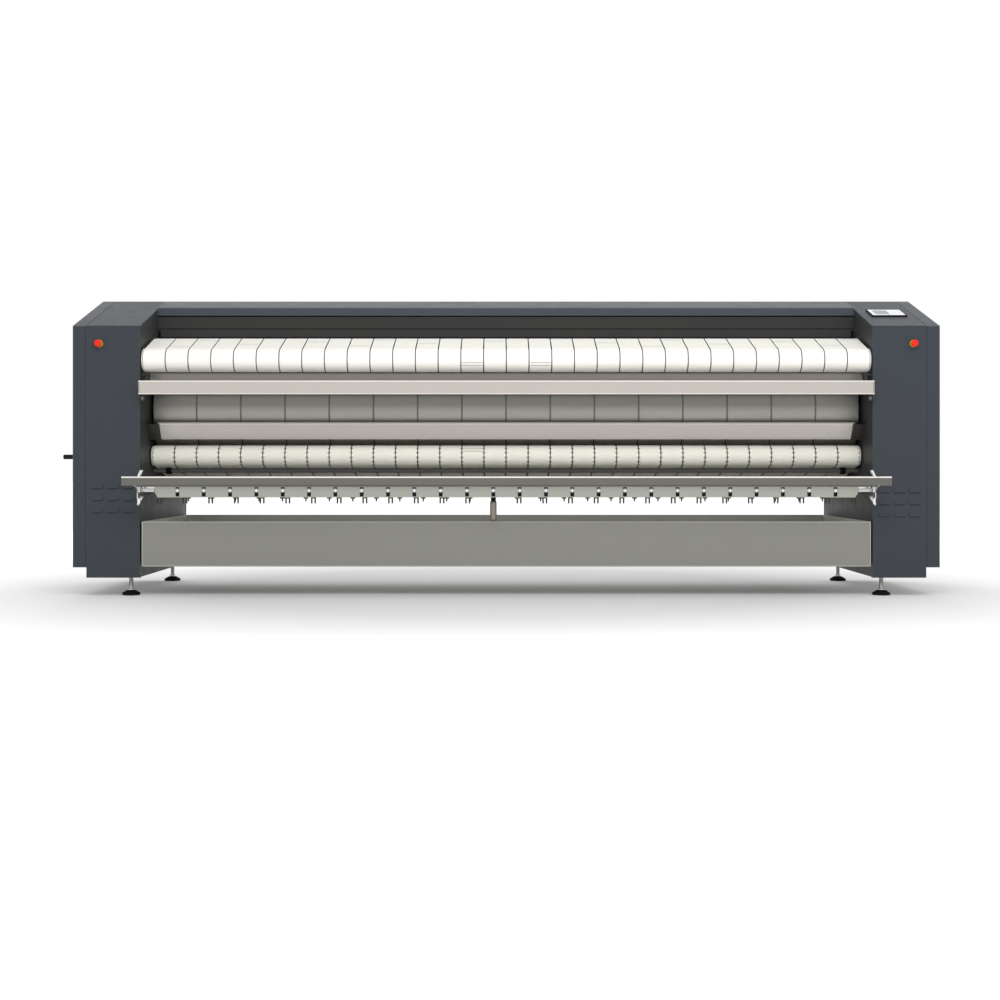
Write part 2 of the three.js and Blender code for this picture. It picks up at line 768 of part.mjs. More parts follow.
// hollow drum with end plates and bored journals; the left journal also carries the pulley
function cylinder() {
  const left = pulleyFace + pulleyWidth + 4;
  const right = outsidePlate + bearingFlange + bearingBoss + 2;
  const inner = cylinderHalf - cylinderWall;
  return turnedX([
    [journalBore, -left], [journalRadius, -left], [journalRadius, -cylinderHalf],
    [cylinderRadius, -cylinderHalf], [cylinderRadius, cylinderHalf],
    [journalRadius, cylinderHalf], [journalRadius, right], [journalBore, right],
    [journalBore, inner], [cylinderRadius - cylinderWall, inner],
    [cylinderRadius - cylinderWall, -inner], [journalBore, -inner], [journalBore, -left],
  ], cylinderCentre, 24);
}

function roll(radius, centre, sides = 12) {
  const end = bossEnd - 2;
  return turnedX([
    [0, -end], [rollJournalRadius, -end], [rollJournalRadius, -rollHalfLength],
    [radius, -rollHalfLength], [radius, rollHalfLength],
    [rollJournalRadius, rollHalfLength], [rollJournalRadius, end], [0, end],
  ], centre, sides);
}

function cylinderBearing(side) {
  const bore = clearBore(journalRadius, fitGap, 14);
  const [a, b, c] = [0, bearingFlange, bearingFlange + bearingBoss].map((d) => outsidePlate + d);
  const profile = [[bore, a], [bearingFlangeRadius, a], [bearingFlangeRadius, b], [bearingBossRadius, b],
    [bearingBossRadius, c], [bore, c], [bore, a]];
  const turned = side > 0 ? profile : profile.map(([r, x]) => [r, -x]).reverse();
  return turnedX(turned, cylinderCentre, 14);
}

// fixed heating tube on the axis, held by a cap on the right bearing
function heaterTube() {
  const capFace = outsidePlate + bearingFlange + bearingBoss + 2 + fitGap;
  const left = cylinderHalf - 2 * cylinderWall;
  return turnedX([
    [0, -left], [heaterRadius, -left], [heaterRadius, capFace],
    [heaterCapRadius, capFace], [heaterCapRadius, capFace + heaterCap], [0, capFace + heaterCap],
  ], cylinderCentre, 12);
}

piece('cylinder', cylinder(), polishedSteel);
piece('heater_tube', heaterTube(), darkPaint);
for (const [word, side] of bothSides) {
  piece(`cylinder_bearing_${word}`, cylinderBearing(side), castIron);
}
piece('press_roll', roll(pressRollRadius, pressCentre, 10), machinedSteel);
piece('exit_roll', roll(exitRollRadius, exitCentre), machinedSteel);
piece('rear_upper_roll', roll(rearRollRadius, rearUpperCentre, 10), machinedSteel);
piece('rear_lower_roll', roll(rearRollRadius, rearLowerCentre, 10), machinedSteel);
piece('feed_front_roll', roll(feedFrontRadius, feedFrontCentre), machinedSteel);
piece('feed_rear_roll', roll(feedRearRadius, feedRearCentre), machinedSteel);

const ironingRolls = [
  { centre: exitCentre, radius: exitRollRadius, turn: 1, steps: 8 },
  { centre: rearLowerCentre, radius: rearRollRadius, turn: 1, steps: 4 },
  { centre: rearUpperCentre, radius: rearRollRadius, turn: 1, steps: 4 },
  { centre: pressCentre, radius: pressRollRadius, turn: 1, steps: 9 },
  { centre: cylinderCentre, radius: cylinderRadius, turn: -1, steps: 20 },
];
piece('ironing_belts', beltLoop(ironingRolls, beltThickness, -beltsHalfWidth, beltsHalfWidth), feltCream);

// ---------------------------------------------------------------- feed table

const feedRolls = [
  { centre: feedFrontCentre, radius: feedFrontRadius, turn: 1, steps: 4 },
  { centre: feedRearCentre, radius: feedRearRadius, turn: 1, steps: 3 },
];

// section of the bed, let into the upper run of the belts and clear of both rolls
function bedSection() {
  const middle = beltPath(feedRolls, feedRolls.map(() => runGap + beltThickness / 2));
  const [front, rear] = [middle[0], middle[middle.length - 1]];
  const run = Math.hypot(rear[0] - front[0], rear[1] - front[1]);
  const [dy, dz] = [(rear[0] - front[0]) / run, (rear[1] - front[1]) / run];
  const corner = (along, down) => [front[0] + along * dy + down * dz, front[1] + along * dz - down * dy];
  const from = feedFrontRadius + bedGap;
  const to = run - feedRearRadius - bedGap;
  return [corner(from, bedThickness), corner(to, bedThickness), corner(to, 0), corner(from, 0)];
}

// the bed with its belts, each a closed loop round both feed rolls
function feedTable() {
  const belts = [];
  for (let i = 0; i < beltCount; i++) {
    const x = -beltsHalfWidth + i * beltPitch;
    belts.push(beltLoop(feedRolls, beltThickness, x, x + beltPitch - beltGap));
  }
  return carve(prismX(bedSection(), -spanHalf, spanHalf), { join: belts });
}

const panFaceTop = feedFrontCentre[1] - panFaceDrop;
const panFaceBottom = panFaceTop - panFaceHeight;
const panLine = [
  [panFaceY + panFloor, panFaceBottom], [panFaceY, panFaceBottom], [panFaceY, panFaceTop],
  [panTopY, feedFrontCentre[1] + panTopRise],
];

piece('feed_table', feedTable(), feltWhite);
piece('feed_pan', acrossFrames([...panLine].reverse(), coverSheet), stainless);

// ---------------------------------------------------------------- hand guard

function handGuard() {
  const top = guardBottom + guardHeight;
  const rear = guardFrontY + guardDepth;
  const bar = sheetSection(rearChannel(guardFrontY, rear, guardBottom, top), guardSheet);
  const [py, pz] = guardPivot;
  const arm = [
    [guardFrontY + 1, guardBottom + 1], [rear, guardBottom + 1], [py + 8, pz - 8],
    [py + 8, pz + 10], [py - 10, pz + 10], [rear, top - 1], [guardFrontY + 1, top - 1],
  ];
  const parts = bothSides.flatMap(([, side]) => [
    prismX(arm, side * guardArmX, side * (guardArmX + guardArm)),
    rodX(guardPinRadius, side * guardArmX, side * pinEnd, guardPivot, 12),
    box(side * (guardHalfWidth - guardTab.width), side * guardHalfWidth,
      rear - guardTab.sheet - 2, rear - 2, guardBottom - guardTab.drop, guardBottom + 1),
  ]);
  return carve(prismX(bar, -guardHalfWidth, guardHalfWidth), { join: parts });
}

piece('hand_guard', handGuard(), stainless);

// ---------------------------------------------------------------- exit cover and fingers

function exitCover() {
  const line = [
    [exitCoverTop[0] + exitCoverLip, exitCoverTop[1] + 8], exitCoverTop, exitCoverBottom,
    [exitCoverBottom[0] + exitCoverLip, exitCoverBottom[1] + 8],
  ];
  const plate = sheetSection(line, coverSheet);
  const strap = sheetSection([exitCoverTop, exitCoverBottom], exitStrap);
  const straps = bothSides.map(([, side]) =>
    prismX(strap, side * (exitCoverHalfWidth - 10), side * spanHalf));
  return carve(prismX(plate, -exitCoverHalfWidth, exitCoverHalfWidth), { join: straps });
}

function fingerShaft() {
  const [y, z] = fingerShaftCentre;
  const tip = aroundCylinder(cylinderRadius + fingerTipGap, fingerTipAngle);
  const root = fingerShaftRadius - 2;
  const finger = [[y - root, z], [y + root, z - root / 2], tip, [tip[0] - 5, tip[1] - 3]];
  const places = [];
  for (let i = 2; i < beltCount; i += 2) places.push(-beltsHalfWidth + i * beltPitch - beltGap / 2);
  return carve(rodX(fingerShaftRadius, -pinEnd, pinEnd, fingerShaftCentre, 12), {
    join: places.map((x) => prismX(finger, x - fingerThickness / 2, x + fingerThickness / 2)),
  });
}

piece('exit_cover', exitCover(), stainless);
piece('finger_shaft', fingerShaft(), machinedSteel);

// ---------------------------------------------------------------- guide rail and carrier plate

function guideRail() {
  const bottom = railTop - railHeight;
  const rear = railFrontY + railDepth;
  const channel = sheetSection(rearChannel(railFrontY, rear, bottom, railTop), railSheet);
  const [py, pz] = railPivot;
  const arm = [
    [railFrontY + 1, bottom + 1], [carrierFrontY, carrierBottom + 2], [py, pz - 14], [py + 12, pz],
    [py, pz + 14], [carrierFrontY + 12, carrierTop - 8], [rear, railTop - 1], [railFrontY + 1, railTop - 1],
  ];
  const armOuter = railArmX + railArm;
  const bracketRear = bracketFrontY + bracketDepth;
  const bracket = [
    [bracketFrontY, bracketBottom + 8], [bracketFrontY + 8, bracketBottom],
    [bracketRear, bracketTop - bracketTaper], [bracketRear, bracketTop], [bracketFrontY, bracketTop],
  ];
  const flange = (side, bottom, top) => box(side * (armOuter - bracketFlange), side * armOuter,
    bracketFrontY, bracketFrontY + bracketSheet, bottom, top);
  const hook = (side) => [
    [armOuter - hookLean - hookSheet, hookTop], [armOuter - hookLean, hookTop],
    [armOuter, railTop - hookFoot], [armOuter - hookSheet, railTop - hookFoot],
  ].map(([x, z]) => [side * x, z]);
  const ends = bothSides.flatMap(([, side]) => [
    prismX(arm, side * railArmX, side * armOuter),
    prismX(bracket, side * (armOuter - bracketSheet), side * armOuter),
    flange(side, bracketBottom + 6, bracketNotch[0]),
    flange(side, bracketNotch[1], bracketTop),
    prismY(hook(side), rear - hookWidth - 2, rear - 2),
    rodX(railPinRadius, side * railArmX, side * pinEnd, railPivot, 12),
    rodX(carrierPinRadius, side * (carrierHalfWidth + fitGap), side * (railArmX + 1),
      [carrierFrontY + carrierPinRadius, carrierTop - carrierPinDrop], 8),
    box(side * (carrierHalfWidth + fitGap), side * (railArmX + 1), bracketRear - carrierTie[0], bracketRear,
      carrierTop - carrierTie[1], carrierTop),
  ]);
  return carve(prismX(channel, -railHalfWidth, railHalfWidth), { join: ends });
}

// folded plate behind the rail with bevelled lower corners and a pair of ears for the lever
function carrierPlate() {
  const line = [
    [carrierRearY, carrierTop - carrierReturn], [carrierRearY, carrierTop],
    [carrierFrontY, carrierTop], [carrierFrontY, carrierBottom],
  ];
  const [ly, lz] = leverPivot;
  const earTop = carrierTop - 1;
  const ear = [[ly - 12, lz - 12], [ly + 12, lz - 12], [ly + 12, earTop], [ly - 12, earTop]];
  const ears = bothSides.map(([, side]) =>
    prismX(ear, leverX + side * earSpread, leverX + side * (earSpread + earThickness)));
  const pin = clearBore(leverPinRadius, fitGap, 12);
  const [cornerX, cornerZ] = carrierCorner;
  const corner = [
    [carrierHalfWidth - cornerX, carrierBottom - 1], [carrierHalfWidth + 1, carrierBottom - 1],
    [carrierHalfWidth + 1, carrierBottom + cornerZ],
  ];
  const corners = bothSides.map(([, side]) =>
    prismY(corner.map(([x, z]) => [side * x, z]), carrierFrontY - 1, carrierFrontY + carrierSheet + 1));
  return carve(
    prismX(sheetSection(line, carrierSheet), -carrierHalfWidth, carrierHalfWidth),
    { join: ears },
    { cut: [rodX(pin, leverX - earSpread - 9, leverX + earSpread + 9, leverPivot, 12), ...corners] },
  );
}

function releaseLever() {
  const [ly, lz] = leverPivot;
  return carve(rodX(leverPinRadius, leverX - earSpread - 6, leverX + earSpread + 6, leverPivot, 12), {
    join: [
      rodZ(leverStemRadius, leverGripTop - 4, lz + 4, [leverX, ly], 12),
      turnedZ([
        [0, leverBottom], [leverGripRadius * 0.6, leverBottom], [leverGripRadius, leverBottom + 7],
        [leverGripRadius, leverGripTop - 4], [leverGripRadius * 0.7, leverGripTop], [0, leverGripTop],
      ], [leverX, ly], 10),
    ],
  });
}

// comb of forks that keep the belts apart on their way back
function beltComb({ y, top, tip, legs }) {
  const bottom = top - combHeight;
  const forks = [];
  for (let i = 0; i < combForkCount; i++) {
    const x = (i - (combForkCount - 1) / 2) * combForkPitch;
    for (let leg = 0; leg < legs; leg++) {
      const from = x - combForkWidth / 2 + (leg * (combForkWidth - combForkWire)) / Math.max(legs - 1, 1);
      forks.push(box(from, from + combForkWire, y + 1, y + combForkWire + 1, tip, bottom + 1));
    }
  }
  return carve(box(-spanHalf, spanHalf, y, y + combSheet, bottom, top), { join: forks });
}

piece('guide_rail', guideRail(), stainless);
piece('carrier_plate', carrierPlate(), stainless);
piece('release_lever', releaseLever(), rubberBlack);
const combRearTop = underBelts(combRearPlace.y, combRearPlace.drop);
piece('belt_comb_front', beltComb(combFrontPlace), zincPlate);
piece('belt_comb_rear', beltComb({
  y: combRearPlace.y, top: combRearTop, tip: combRearTop - combRearPlace.reach, legs: combRearPlace.legs,
}), zincPlate);

// ---------------------------------------------------------------- linen bin

// open tray whose floor runs down to the front, hung by its side rims between the frames
function linenBin() {
  const outline = (top) => [[0, binFrontFloor], [binRearY, binRearFloor], [binRearY, top], [0, top]];
  const inner = binHalfWidth - binSheet;
  const rims = bothSides.map(([, side]) => box(side * (binHalfWidth - 1), side * spanHalf,
    binRimInset, binRearY - binRimInset, binTop - binSheet, binTop));
  return carve(
    prismX(outline(binTop), -binHalfWidth, binHalfWidth),
    { cut: [prismX(inset(outline(binTop + 4 * binSheet), binSheet), -inner, inner)] },
    { join: rims },
  );
}

piece('linen_bin', linenBin(), stainless);

// ---------------------------------------------------------------- drive

function bigPulley() {
  const bore = clearBore(journalRadius, fitGap, 16);
  const [a, b] = [-(pulleyFace + pulleyWidth), -pulleyFace];
  const middle = (a + b) / 2;
  const web = [middle - pulleyWeb / 2, middle + pulleyWeb / 2];
  const rim = bigPulleyRadius - pulleyRim;
  return turnedX([
    [bore, a], [pulleyHubRadius, a], [pulleyHubRadius, web[0]], [rim, web[0]], [rim, a],
    [bigPulleyRadius, a], [bigPulleyRadius, b], [rim, b], [rim, web[1]],
    [pulleyHubRadius, web[1]], [pulleyHubRadius, b], [bore, b], [bore, a],
  ], cylinderCentre, 16);
}

// shaft with the small pulley turned on it, from the side frame out through the side cover
function crankShaft() {
  const [a, b] = [-(pulleyFace + pulleyWidth), -pulleyFace];
  const outer = -(coverOuter + crankClearance + crankArmThickness);
  return turnedX([
    [0, outer], [driveShaftRadius, outer], [driveShaftRadius, a], [smallPulleyRadius, a],
    [smallPulleyRadius, b], [driveShaftRadius, b], [driveShaftRadius, -(halfGap + 2)], [0, -(halfGap + 2)],
  ], driveCentre, 12);
}

function driveBelt() {
  const middle = -(pulleyFace + pulleyWidth / 2);
  const rolls = [
    { centre: driveCentre, radius: smallPulleyRadius, turn: 1, steps: 6 },
    { centre: cylinderCentre, radius: bigPulleyRadius, turn: 1, steps: 14 },
  ];
  return beltLoop(rolls, beltThickness, middle - driveBeltWidth / 2, middle + driveBeltWidth / 2);
}

// hollow-shaft gearbox with its motor below, on three posts from the side frame
function gearMotor() {
  const [y, z] = driveCentre;
  const half = gearboxSize / 2;
  const inner = -(pulleyFace + pulleyWidth + 14);
  const outer = inner - gearboxWidth;
  const motorX = (inner + outer) / 2;
  const motorTop = z - half;
  const posts = [[y - half + 12, z - half + 12], [y + half - 12, z - half + 12], [y - half, z + half - 6]];
  return carve(
    box(outer, inner, y - half - 12, y + half, z - half, z + half + 6),
    {
      join: [
        ...posts.map((centre) => rodX(postRadius, inner - 1, -outsidePlate, centre, 8)),
        rodZ(motorRadius, motorTop - motorLength, motorTop + 1, [motorX, y], 12),
      ],
    },
    { cut: [rodX(clearBore(driveShaftRadius, fitGap, 16), outer - 1, inner + 1, driveCentre, 16)] },
  );
}

// crank at rest with its arm level and pointing to the front
function crankArm() {
  const [y, z] = driveCentre;
  const [a, b] = [-(coverOuter + crankClearance), -(coverOuter + crankClearance + crankArmThickness)];
  const gripY = y - crankArmLength;
  const arm = [
    [y + 20, z - 16], [y + 20, z + 16], [y, z + 22],
    [gripY, z + gripRadius], [gripY - gripRadius, z], [gripY, z - gripRadius], [y, z - 22],
  ];
  return carve(
    prismX(arm, a, b),
    { join: [rodX(gripPinRadius, a, -(coverOuter + crankReach - 6), [gripY, z], 12)] },
    { cut: [rodX(clearBore(driveShaftRadius, fitGap, 16), a + 1, b - 1, driveCentre, 16)] },
  );
}

function crankGrip() {
  const bore = clearBore(gripPinRadius, fitGap, 12);
  const end = -(coverOuter + crankReach);
  const start = -(coverOuter + crankClearance + crankArmThickness + fitGap);
  const profile = [
    [bore, end], [gripRadius - 3, end], [gripRadius, end + 4], [gripRadius - 1.5, (end + start) / 2],
    [gripRadius, start - 3], [gripRadius - 2, start], [bore, start], [bore, end],
  ];
  return turnedX(profile, [driveCentre[0] - crankArmLength, driveCentre[1]], 10);
}

piece('cylinder_pulley', bigPulley(), castIron);
piece('crank_shaft', crankShaft(), machinedSteel);
piece('drive_belt', driveBelt(), rubberBlack);
piece('gear_motor', gearMotor(), castIron);
piece('crank_arm', crankArm(), zincPlate);
piece('crank_grip', crankGrip(), rubberBlack);

// ---------------------------------------------------------------- suction fan

const fanIn = outsidePlate;
const fanOut = outsidePlate + fanDepth;
const fanShellRadius = fanRadius + fanSheet;

// round casing with an inlet through the side frame and a spigot through the rear panel
function fanHousing() {
  const reach = bodyDepth + spigotReach;
  const shaftHole = clearBore(fanShaftRadius, runGap, 12);
  return carve(
    rodX(fanShellRadius + fanSheet, fanIn, fanOut, fanCentre, 18),
    { join: [rodY(spigotRadius, fanCentre[0], reach, spigotCentre, 12)] },
    {
      cut: [
        rodX(fanShellRadius, fanIn + fanSheet, fanOut - fanSheet, fanCentre, 18),
        rodX(fanInletRadius, fanIn - 1, fanIn + fanSheet + 1, fanCentre, 16),
        rodY(spigotRadius - fanSheet, fanCentre[0], reach + 1, spigotCentre, 12),
        rodX(shaftHole, fanOut - fanSheet - 1, fanOut + 1, fanCentre, 12),
      ],
    },
  );
}

function fanMotor() {
  const start = fanOut + fitGap;
  const bore = clearBore(fanShaftRadius, fitGap, 12);
  const end = start + fanMotorLength;
  const boreEnd = start + fanShaftSeat + 4;
  return turnedX([
    [bore, start], [fanMotorRadius, start], [fanMotorRadius, end - 10], [fanMotorRadius - 10, end],
    [0, end], [0, boreEnd], [bore, boreEnd], [bore, start],
  ], fanCentre, 12);
}

function fanImpeller() {
  const disc = fanOut - fanSheet - fanDiscInset;
  const [cy, cz] = fanCentre;
  const tip = fanRadius - fanSheet;
  const blades = [];
  for (let i = 0; i < fanBladeCount; i++) {
    const blade = box(disc - fanBladeWidth, disc + 1, tip - fanBladeLength, tip,
      -fanSheet / 2, fanSheet / 2);
    blade.rotateX((i * 2 * Math.PI) / fanBladeCount);
    blade.translate(0, cy, cz);
    blades.push(blade);
  }
  return carve(rodX(fanRadius, disc, disc + 3, fanCentre, 16), {
    join: [
      rodX(fanHubRadius, disc - 30, disc + 1, fanCentre, 12),
      rodX(fanShaftRadius, disc, fanOut + fitGap + fanShaftSeat, fanCentre, 12),
      ...blades,
    ],
  });
}

piece('fan_housing', fanHousing(), zincPlate);
piece('fan_motor', fanMotor(), castIron);
piece('fan_impeller', fanImpeller(), zincPlate);

// ---------------------------------------------------------------- controls

// collar outside the front panel, neck through it and nut behind
function stopCollarPiece(x) {
  const bore = clearBore(stopStemRadius, fitGap, 12);
  const back = coverSheet + fitGap;
  return turnedY([
    [bore, -stopCollar], [stopCollarRadius - 3, -stopCollar], [stopCollarRadius, -stopCollar + 3],
    [stopCollarRadius, -fitGap], [stopNeckRadius, -fitGap], [stopNeckRadius, back],
    [stopCollarRadius - 2, back], [stopCollarRadius - 2, back + 6], [bore, back + 6], [bore, -stopCollar],
  ], [x, stopZ], 12);
}

function stopButtonPiece(x) {
  const under = -(stopCollar + stopButtonGap);
  return turnedY([
    [0, under - stopButton], [stopButtonRadius * 0.7, under - stopButton + 1],
    [stopButtonRadius, under - stopButton + 6], [stopButtonRadius, under - 5],
    [stopButtonRadius - 4, under], [stopStemRadius, under],
    [stopStemRadius, coverSheet + 8], [0, coverSheet + 8],
  ], [x, stopZ], 12);
}

function touchPanel() {
  const [w, l] = [screenWidth / 2, screenLength / 2];
  const top = fitGap + screenThickness;
  const [iw, il] = [w - screenBezel, l - screenBezel];
  return carve(box(-w, w, -l, l, fitGap, top), { cut: [box(-iw, iw, -il, il, top - 1, top + 1)] });
}

for (const [word, side] of bothSides) {
  piece(`stop_collar_${word}`, stopCollarPiece(side * stopX), plasticYellow);
  piece(`stop_button_${word}`, stopButtonPiece(side * stopX), plasticRed);
}
const screen = piece('touch_panel', touchPanel(), plasticGrey);
screen.position.set(screenX, screenY, slopeHeight(screenY));
screen.rotation.x = slopeAngle;
const controlBoxBottom = feedFrontCentre[1] - controlBox.drop;
piece('control_box', box(
  outsidePlate, outsidePlate + controlBox.width, controlBox.y, controlBox.y + controlBox.depth,
  controlBoxBottom, controlBoxBottom + controlBox.height), plasticGrey);

// ---------------------------------------------------------------- origin under the middle

const leftReach = coverOuter + crankReach;
const rearReach = bodyDepth + spigotReach;
machine.position.set((leftReach - coverOuter) / 2, -(rearReach + railFrontY) / 2, 0);

const flatworkIroner = new THREE.Group();
flatworkIroner.add(machine);

export default flatworkIroner;
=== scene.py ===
# %% [markdown]
# # Flatwork ironer
#
# A laundry ironer stands between two slate-grey housings. White belts feed the linen in at
# the top, a steel cylinder presses it, a second set of belts carries it round, and it comes
# out over a guide rail into the bin below.
#
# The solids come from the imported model. This lesson dresses them: it rebuilds what is round
# with more facets, cuts the belts apart, folds the steel bars with real bends, and gives
# every surface a finish made of shader nodes.

# %% The frame
import math

import bmesh
import bpy
from mathutils import Matrix, Vector


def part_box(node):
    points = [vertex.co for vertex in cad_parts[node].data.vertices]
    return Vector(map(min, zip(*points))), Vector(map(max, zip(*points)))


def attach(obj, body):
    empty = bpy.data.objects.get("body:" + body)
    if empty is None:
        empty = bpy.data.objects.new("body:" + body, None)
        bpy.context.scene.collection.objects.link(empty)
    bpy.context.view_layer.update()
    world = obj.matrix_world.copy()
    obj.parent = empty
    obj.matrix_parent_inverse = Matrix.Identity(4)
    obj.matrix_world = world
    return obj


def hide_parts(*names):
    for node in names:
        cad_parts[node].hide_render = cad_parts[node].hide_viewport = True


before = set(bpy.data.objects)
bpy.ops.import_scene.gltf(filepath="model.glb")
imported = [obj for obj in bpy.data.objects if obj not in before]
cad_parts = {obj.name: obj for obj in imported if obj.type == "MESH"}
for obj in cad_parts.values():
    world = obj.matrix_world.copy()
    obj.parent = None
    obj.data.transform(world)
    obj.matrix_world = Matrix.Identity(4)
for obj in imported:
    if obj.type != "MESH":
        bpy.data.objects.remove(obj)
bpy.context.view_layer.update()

# %% [markdown]
# ## One frame for the numbers
#
# The machine was drawn in millimetres, with x = 0 on its middle plane and y = 0 on the front
# faces of the housings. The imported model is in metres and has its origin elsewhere, so every
# new piece is drawn in the machine's own numbers and moved once, when it is finished. The
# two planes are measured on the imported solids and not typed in.

# %% The machine's own planes
MM = 0.001
BODY_DEPTH = 1050

middle = (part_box("side_frame_left")[1].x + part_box("side_frame_right")[0].x) / 2
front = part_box("rear_panel_left")[1].y - BODY_DEPTH * MM
to_row = Matrix.Translation((middle, front, 0)) @ Matrix.Scale(MM, 4)
print(f"middle plane x = {middle:.4f} m, front faces y = {front:.4f} m")

HALF_GAP = 1673          # side frame's inner face from the middle
SPAN = HALF_GAP - 0.3    # pieces that seat between the side frames
PIN_END = HALF_GAP + 5   # pins and shafts end inside the side frames' plates
COVER_OUTER = 1980       # outer face of the side covers

CYLINDER = (455, 862)
CYLINDER_RADIUS = 250
CYLINDER_HALF = 1660
PRESS = (361.368, 1150.170)
EXIT = (247.117, 642.937)
REAR_UPPER = (885, 1215)
REAR_LOWER = (885, 515)
FEED_FRONT = (55, 1081)
FEED_REAR = (244, 1166)
PRESS_RADIUS, EXIT_RADIUS, REAR_RADIUS = 47, 46, 45
FEED_FRONT_RADIUS, FEED_REAR_RADIUS = 52, 27

BELT_COUNT = 32
BELT_PITCH = 103.875
BELT_GAP = 5.5
BELT_THICKNESS = 3
RUN_GAP = 0.5
FINE_TURN = 0.17         # radians: no facet of a belt turns more, or it would cut into its roll
BELTS_HALF = (BELT_COUNT * BELT_PITCH - BELT_GAP) / 2

# %% [markdown]
# ## The camera
#
# The photograph was taken from seven metres in front of the housings, a little over half a
# metre above the floor, with the lens level. A level lens keeps the uprights parallel. The
# small shifts move the picture without turning the camera.

# %% Camera
CAMERA_DISTANCE = 7.0
CAMERA_HEIGHT = 0.583
CAMERA_SIDE = -0.0425

camera = bpy.data.objects.new("camera", bpy.data.cameras.new("camera"))
bpy.context.scene.collection.objects.link(camera)
camera.location = (middle + CAMERA_SIDE, front - CAMERA_DISTANCE, CAMERA_HEIGHT)
camera.rotation_euler = (math.pi / 2, 0, 0)
camera.data.lens = 55.2
camera.data.shift_x = 0.003
camera.data.shift_y = -0.0315
camera.data.clip_end = 200
bpy.context.scene.camera = camera
bpy.context.scene.view_settings.view_transform = "Standard"
print(f"camera {CAMERA_DISTANCE} m in front of the housings, {CAMERA_HEIGHT} m up")

# %% [markdown]
# ## Writing finishes as sums
#
# A finish is a small network of nodes. `Wire` wraps one socket, so that `1 - mask * 0.5`
# adds the Math nodes by itself. `Finish` holds the material, and its `node` method adds any
# other kind of node: first its settings, then what goes into its sockets.

# %% Wire and Finish
class Wire:
    """One output socket, with Python's operators standing for Math nodes."""

    def __init__(self, finish, socket):
        self.finish, self.socket = finish, socket

    def __add__(self, other):
        return self.finish.maths("ADD", self, other)

    def __sub__(self, other):
        return self.finish.maths("SUBTRACT", self, other)

    def __rsub__(self, other):
        return self.finish.maths("SUBTRACT", other, self)

    def __mul__(self, other):
        return self.finish.maths("MULTIPLY", self, other)

    def __truediv__(self, other):
        return self.finish.maths("DIVIDE", self, other)

    __radd__, __rmul__ = __add__, __mul__


class Finish:
    """A material round one Principled shader."""

    def __init__(self, name, **constants):
        self.material = bpy.data.materials.new(name)
        self.material.use_nodes = True
        self.tree = self.material.node_tree
        self.shader = self.tree.nodes["Principled BSDF"]
        self.place = self.node("ShaderNodeTexCoord", out="Object")
        for socket, value in constants.items():
            self.feed(socket.replace("_", " "), value)
        print("finish", name)

    def node(self, kind, settings=None, values=None, out=0):
        made = self.tree.nodes.new(kind)
        for key, value in (settings or {}).items():
            setattr(made, key, value)
        for key, value in (values or {}).items():
            self.link(made.inputs[key], value)
        return Wire(self, made.outputs[out])

    def link(self, socket, value):
        if isinstance(value, Wire):
            self.tree.links.new(value.socket, socket)
        else:
            socket.default_value = value

    def feed(self, socket, value):
        self.link(self.shader.inputs[socket], value)

    def maths(self, operation, *values):
        return self.node("ShaderNodeMath", {"operation": operation}, dict(enumerate(values)))

    def axis(self, name):
        return self.node("ShaderNodeSeparateXYZ", {}, {0: self.place}, out=name)

    def noise(self, scale, stretch=(1, 1, 1), detail=2.0):
        moved = self.node("ShaderNodeMapping", {}, {"Vector": self.place, "Scale": stretch})
        values = {"Vector": moved, "Scale": scale, "Detail": detail}
        return self.node("ShaderNodeTexNoise", {}, values)

    def ramp(self, value, low, high):
        """0 below low, 1 above high."""
        values = {0: value, 1: low, 2: high, 3: 0.0, 4: 1.0}
        return self.node("ShaderNodeMapRange", {"clamp": True}, values)

    def near(self, value, width):
        """1 where value is close to 0, fading out by the given width."""
        return 1 - self.ramp(self.maths("ABSOLUTE", value), width * 0.5, width)

    def blend(self, mask, a, b):
        return self.node("ShaderNodeMix", {"data_type": "RGBA"}, {0: mask, 6: a, 7: b}, out=2)

    def bump(self, height, distance, strength):
        values = {"Height": height, "Distance": distance, "Strength": strength}
        self.feed("Normal", self.node("ShaderNodeBump", {}, values))


def rgb(r, g, b):
    """A colour from 8-bit screen values, in the linear light that shaders use."""
    def linear(c):
        c = c / 255
        return c / 12.92 if c <= 0.04045 else ((c + 0.055) / 1.055) ** 2.4
    return (linear(r), linear(g), linear(b), 1.0)

# %% [markdown]
# ## Slate paint
#
# The housings are powder coated. From close by such a coat has orange peel, a bump of a
# fraction of a millimetre, and its gloss is slightly uneven. From far off the colour drifts
# over a panel between a bluish and a neutral grey. Hands leave the coat a bit smoother, so a
# second noise changes the roughness as well. Each paint has a second, lighter finish for its
# folded edges: partly wear, partly a painted highlight for the light the rounded folds catch.

# %% Painted finishes
def painted(name, cool, neutral, roughness, gloss=0.25, peel=0.00006):
    f = Finish(name, Specular_IOR_Level=gloss)
    drift = f.ramp(f.noise(1.3, (1.0, 0.8, 0.7), detail=4.0), 0.28, 0.72)
    cloud = f.noise(14.0, detail=4.0)
    f.feed("Base Color", f.blend(drift * 0.7 + cloud * 0.3, cool, neutral))
    f.feed("Roughness", roughness + (cloud - 0.5) * 0.16)
    f.bump(f.noise(520.0), peel, 0.35)
    return f.material


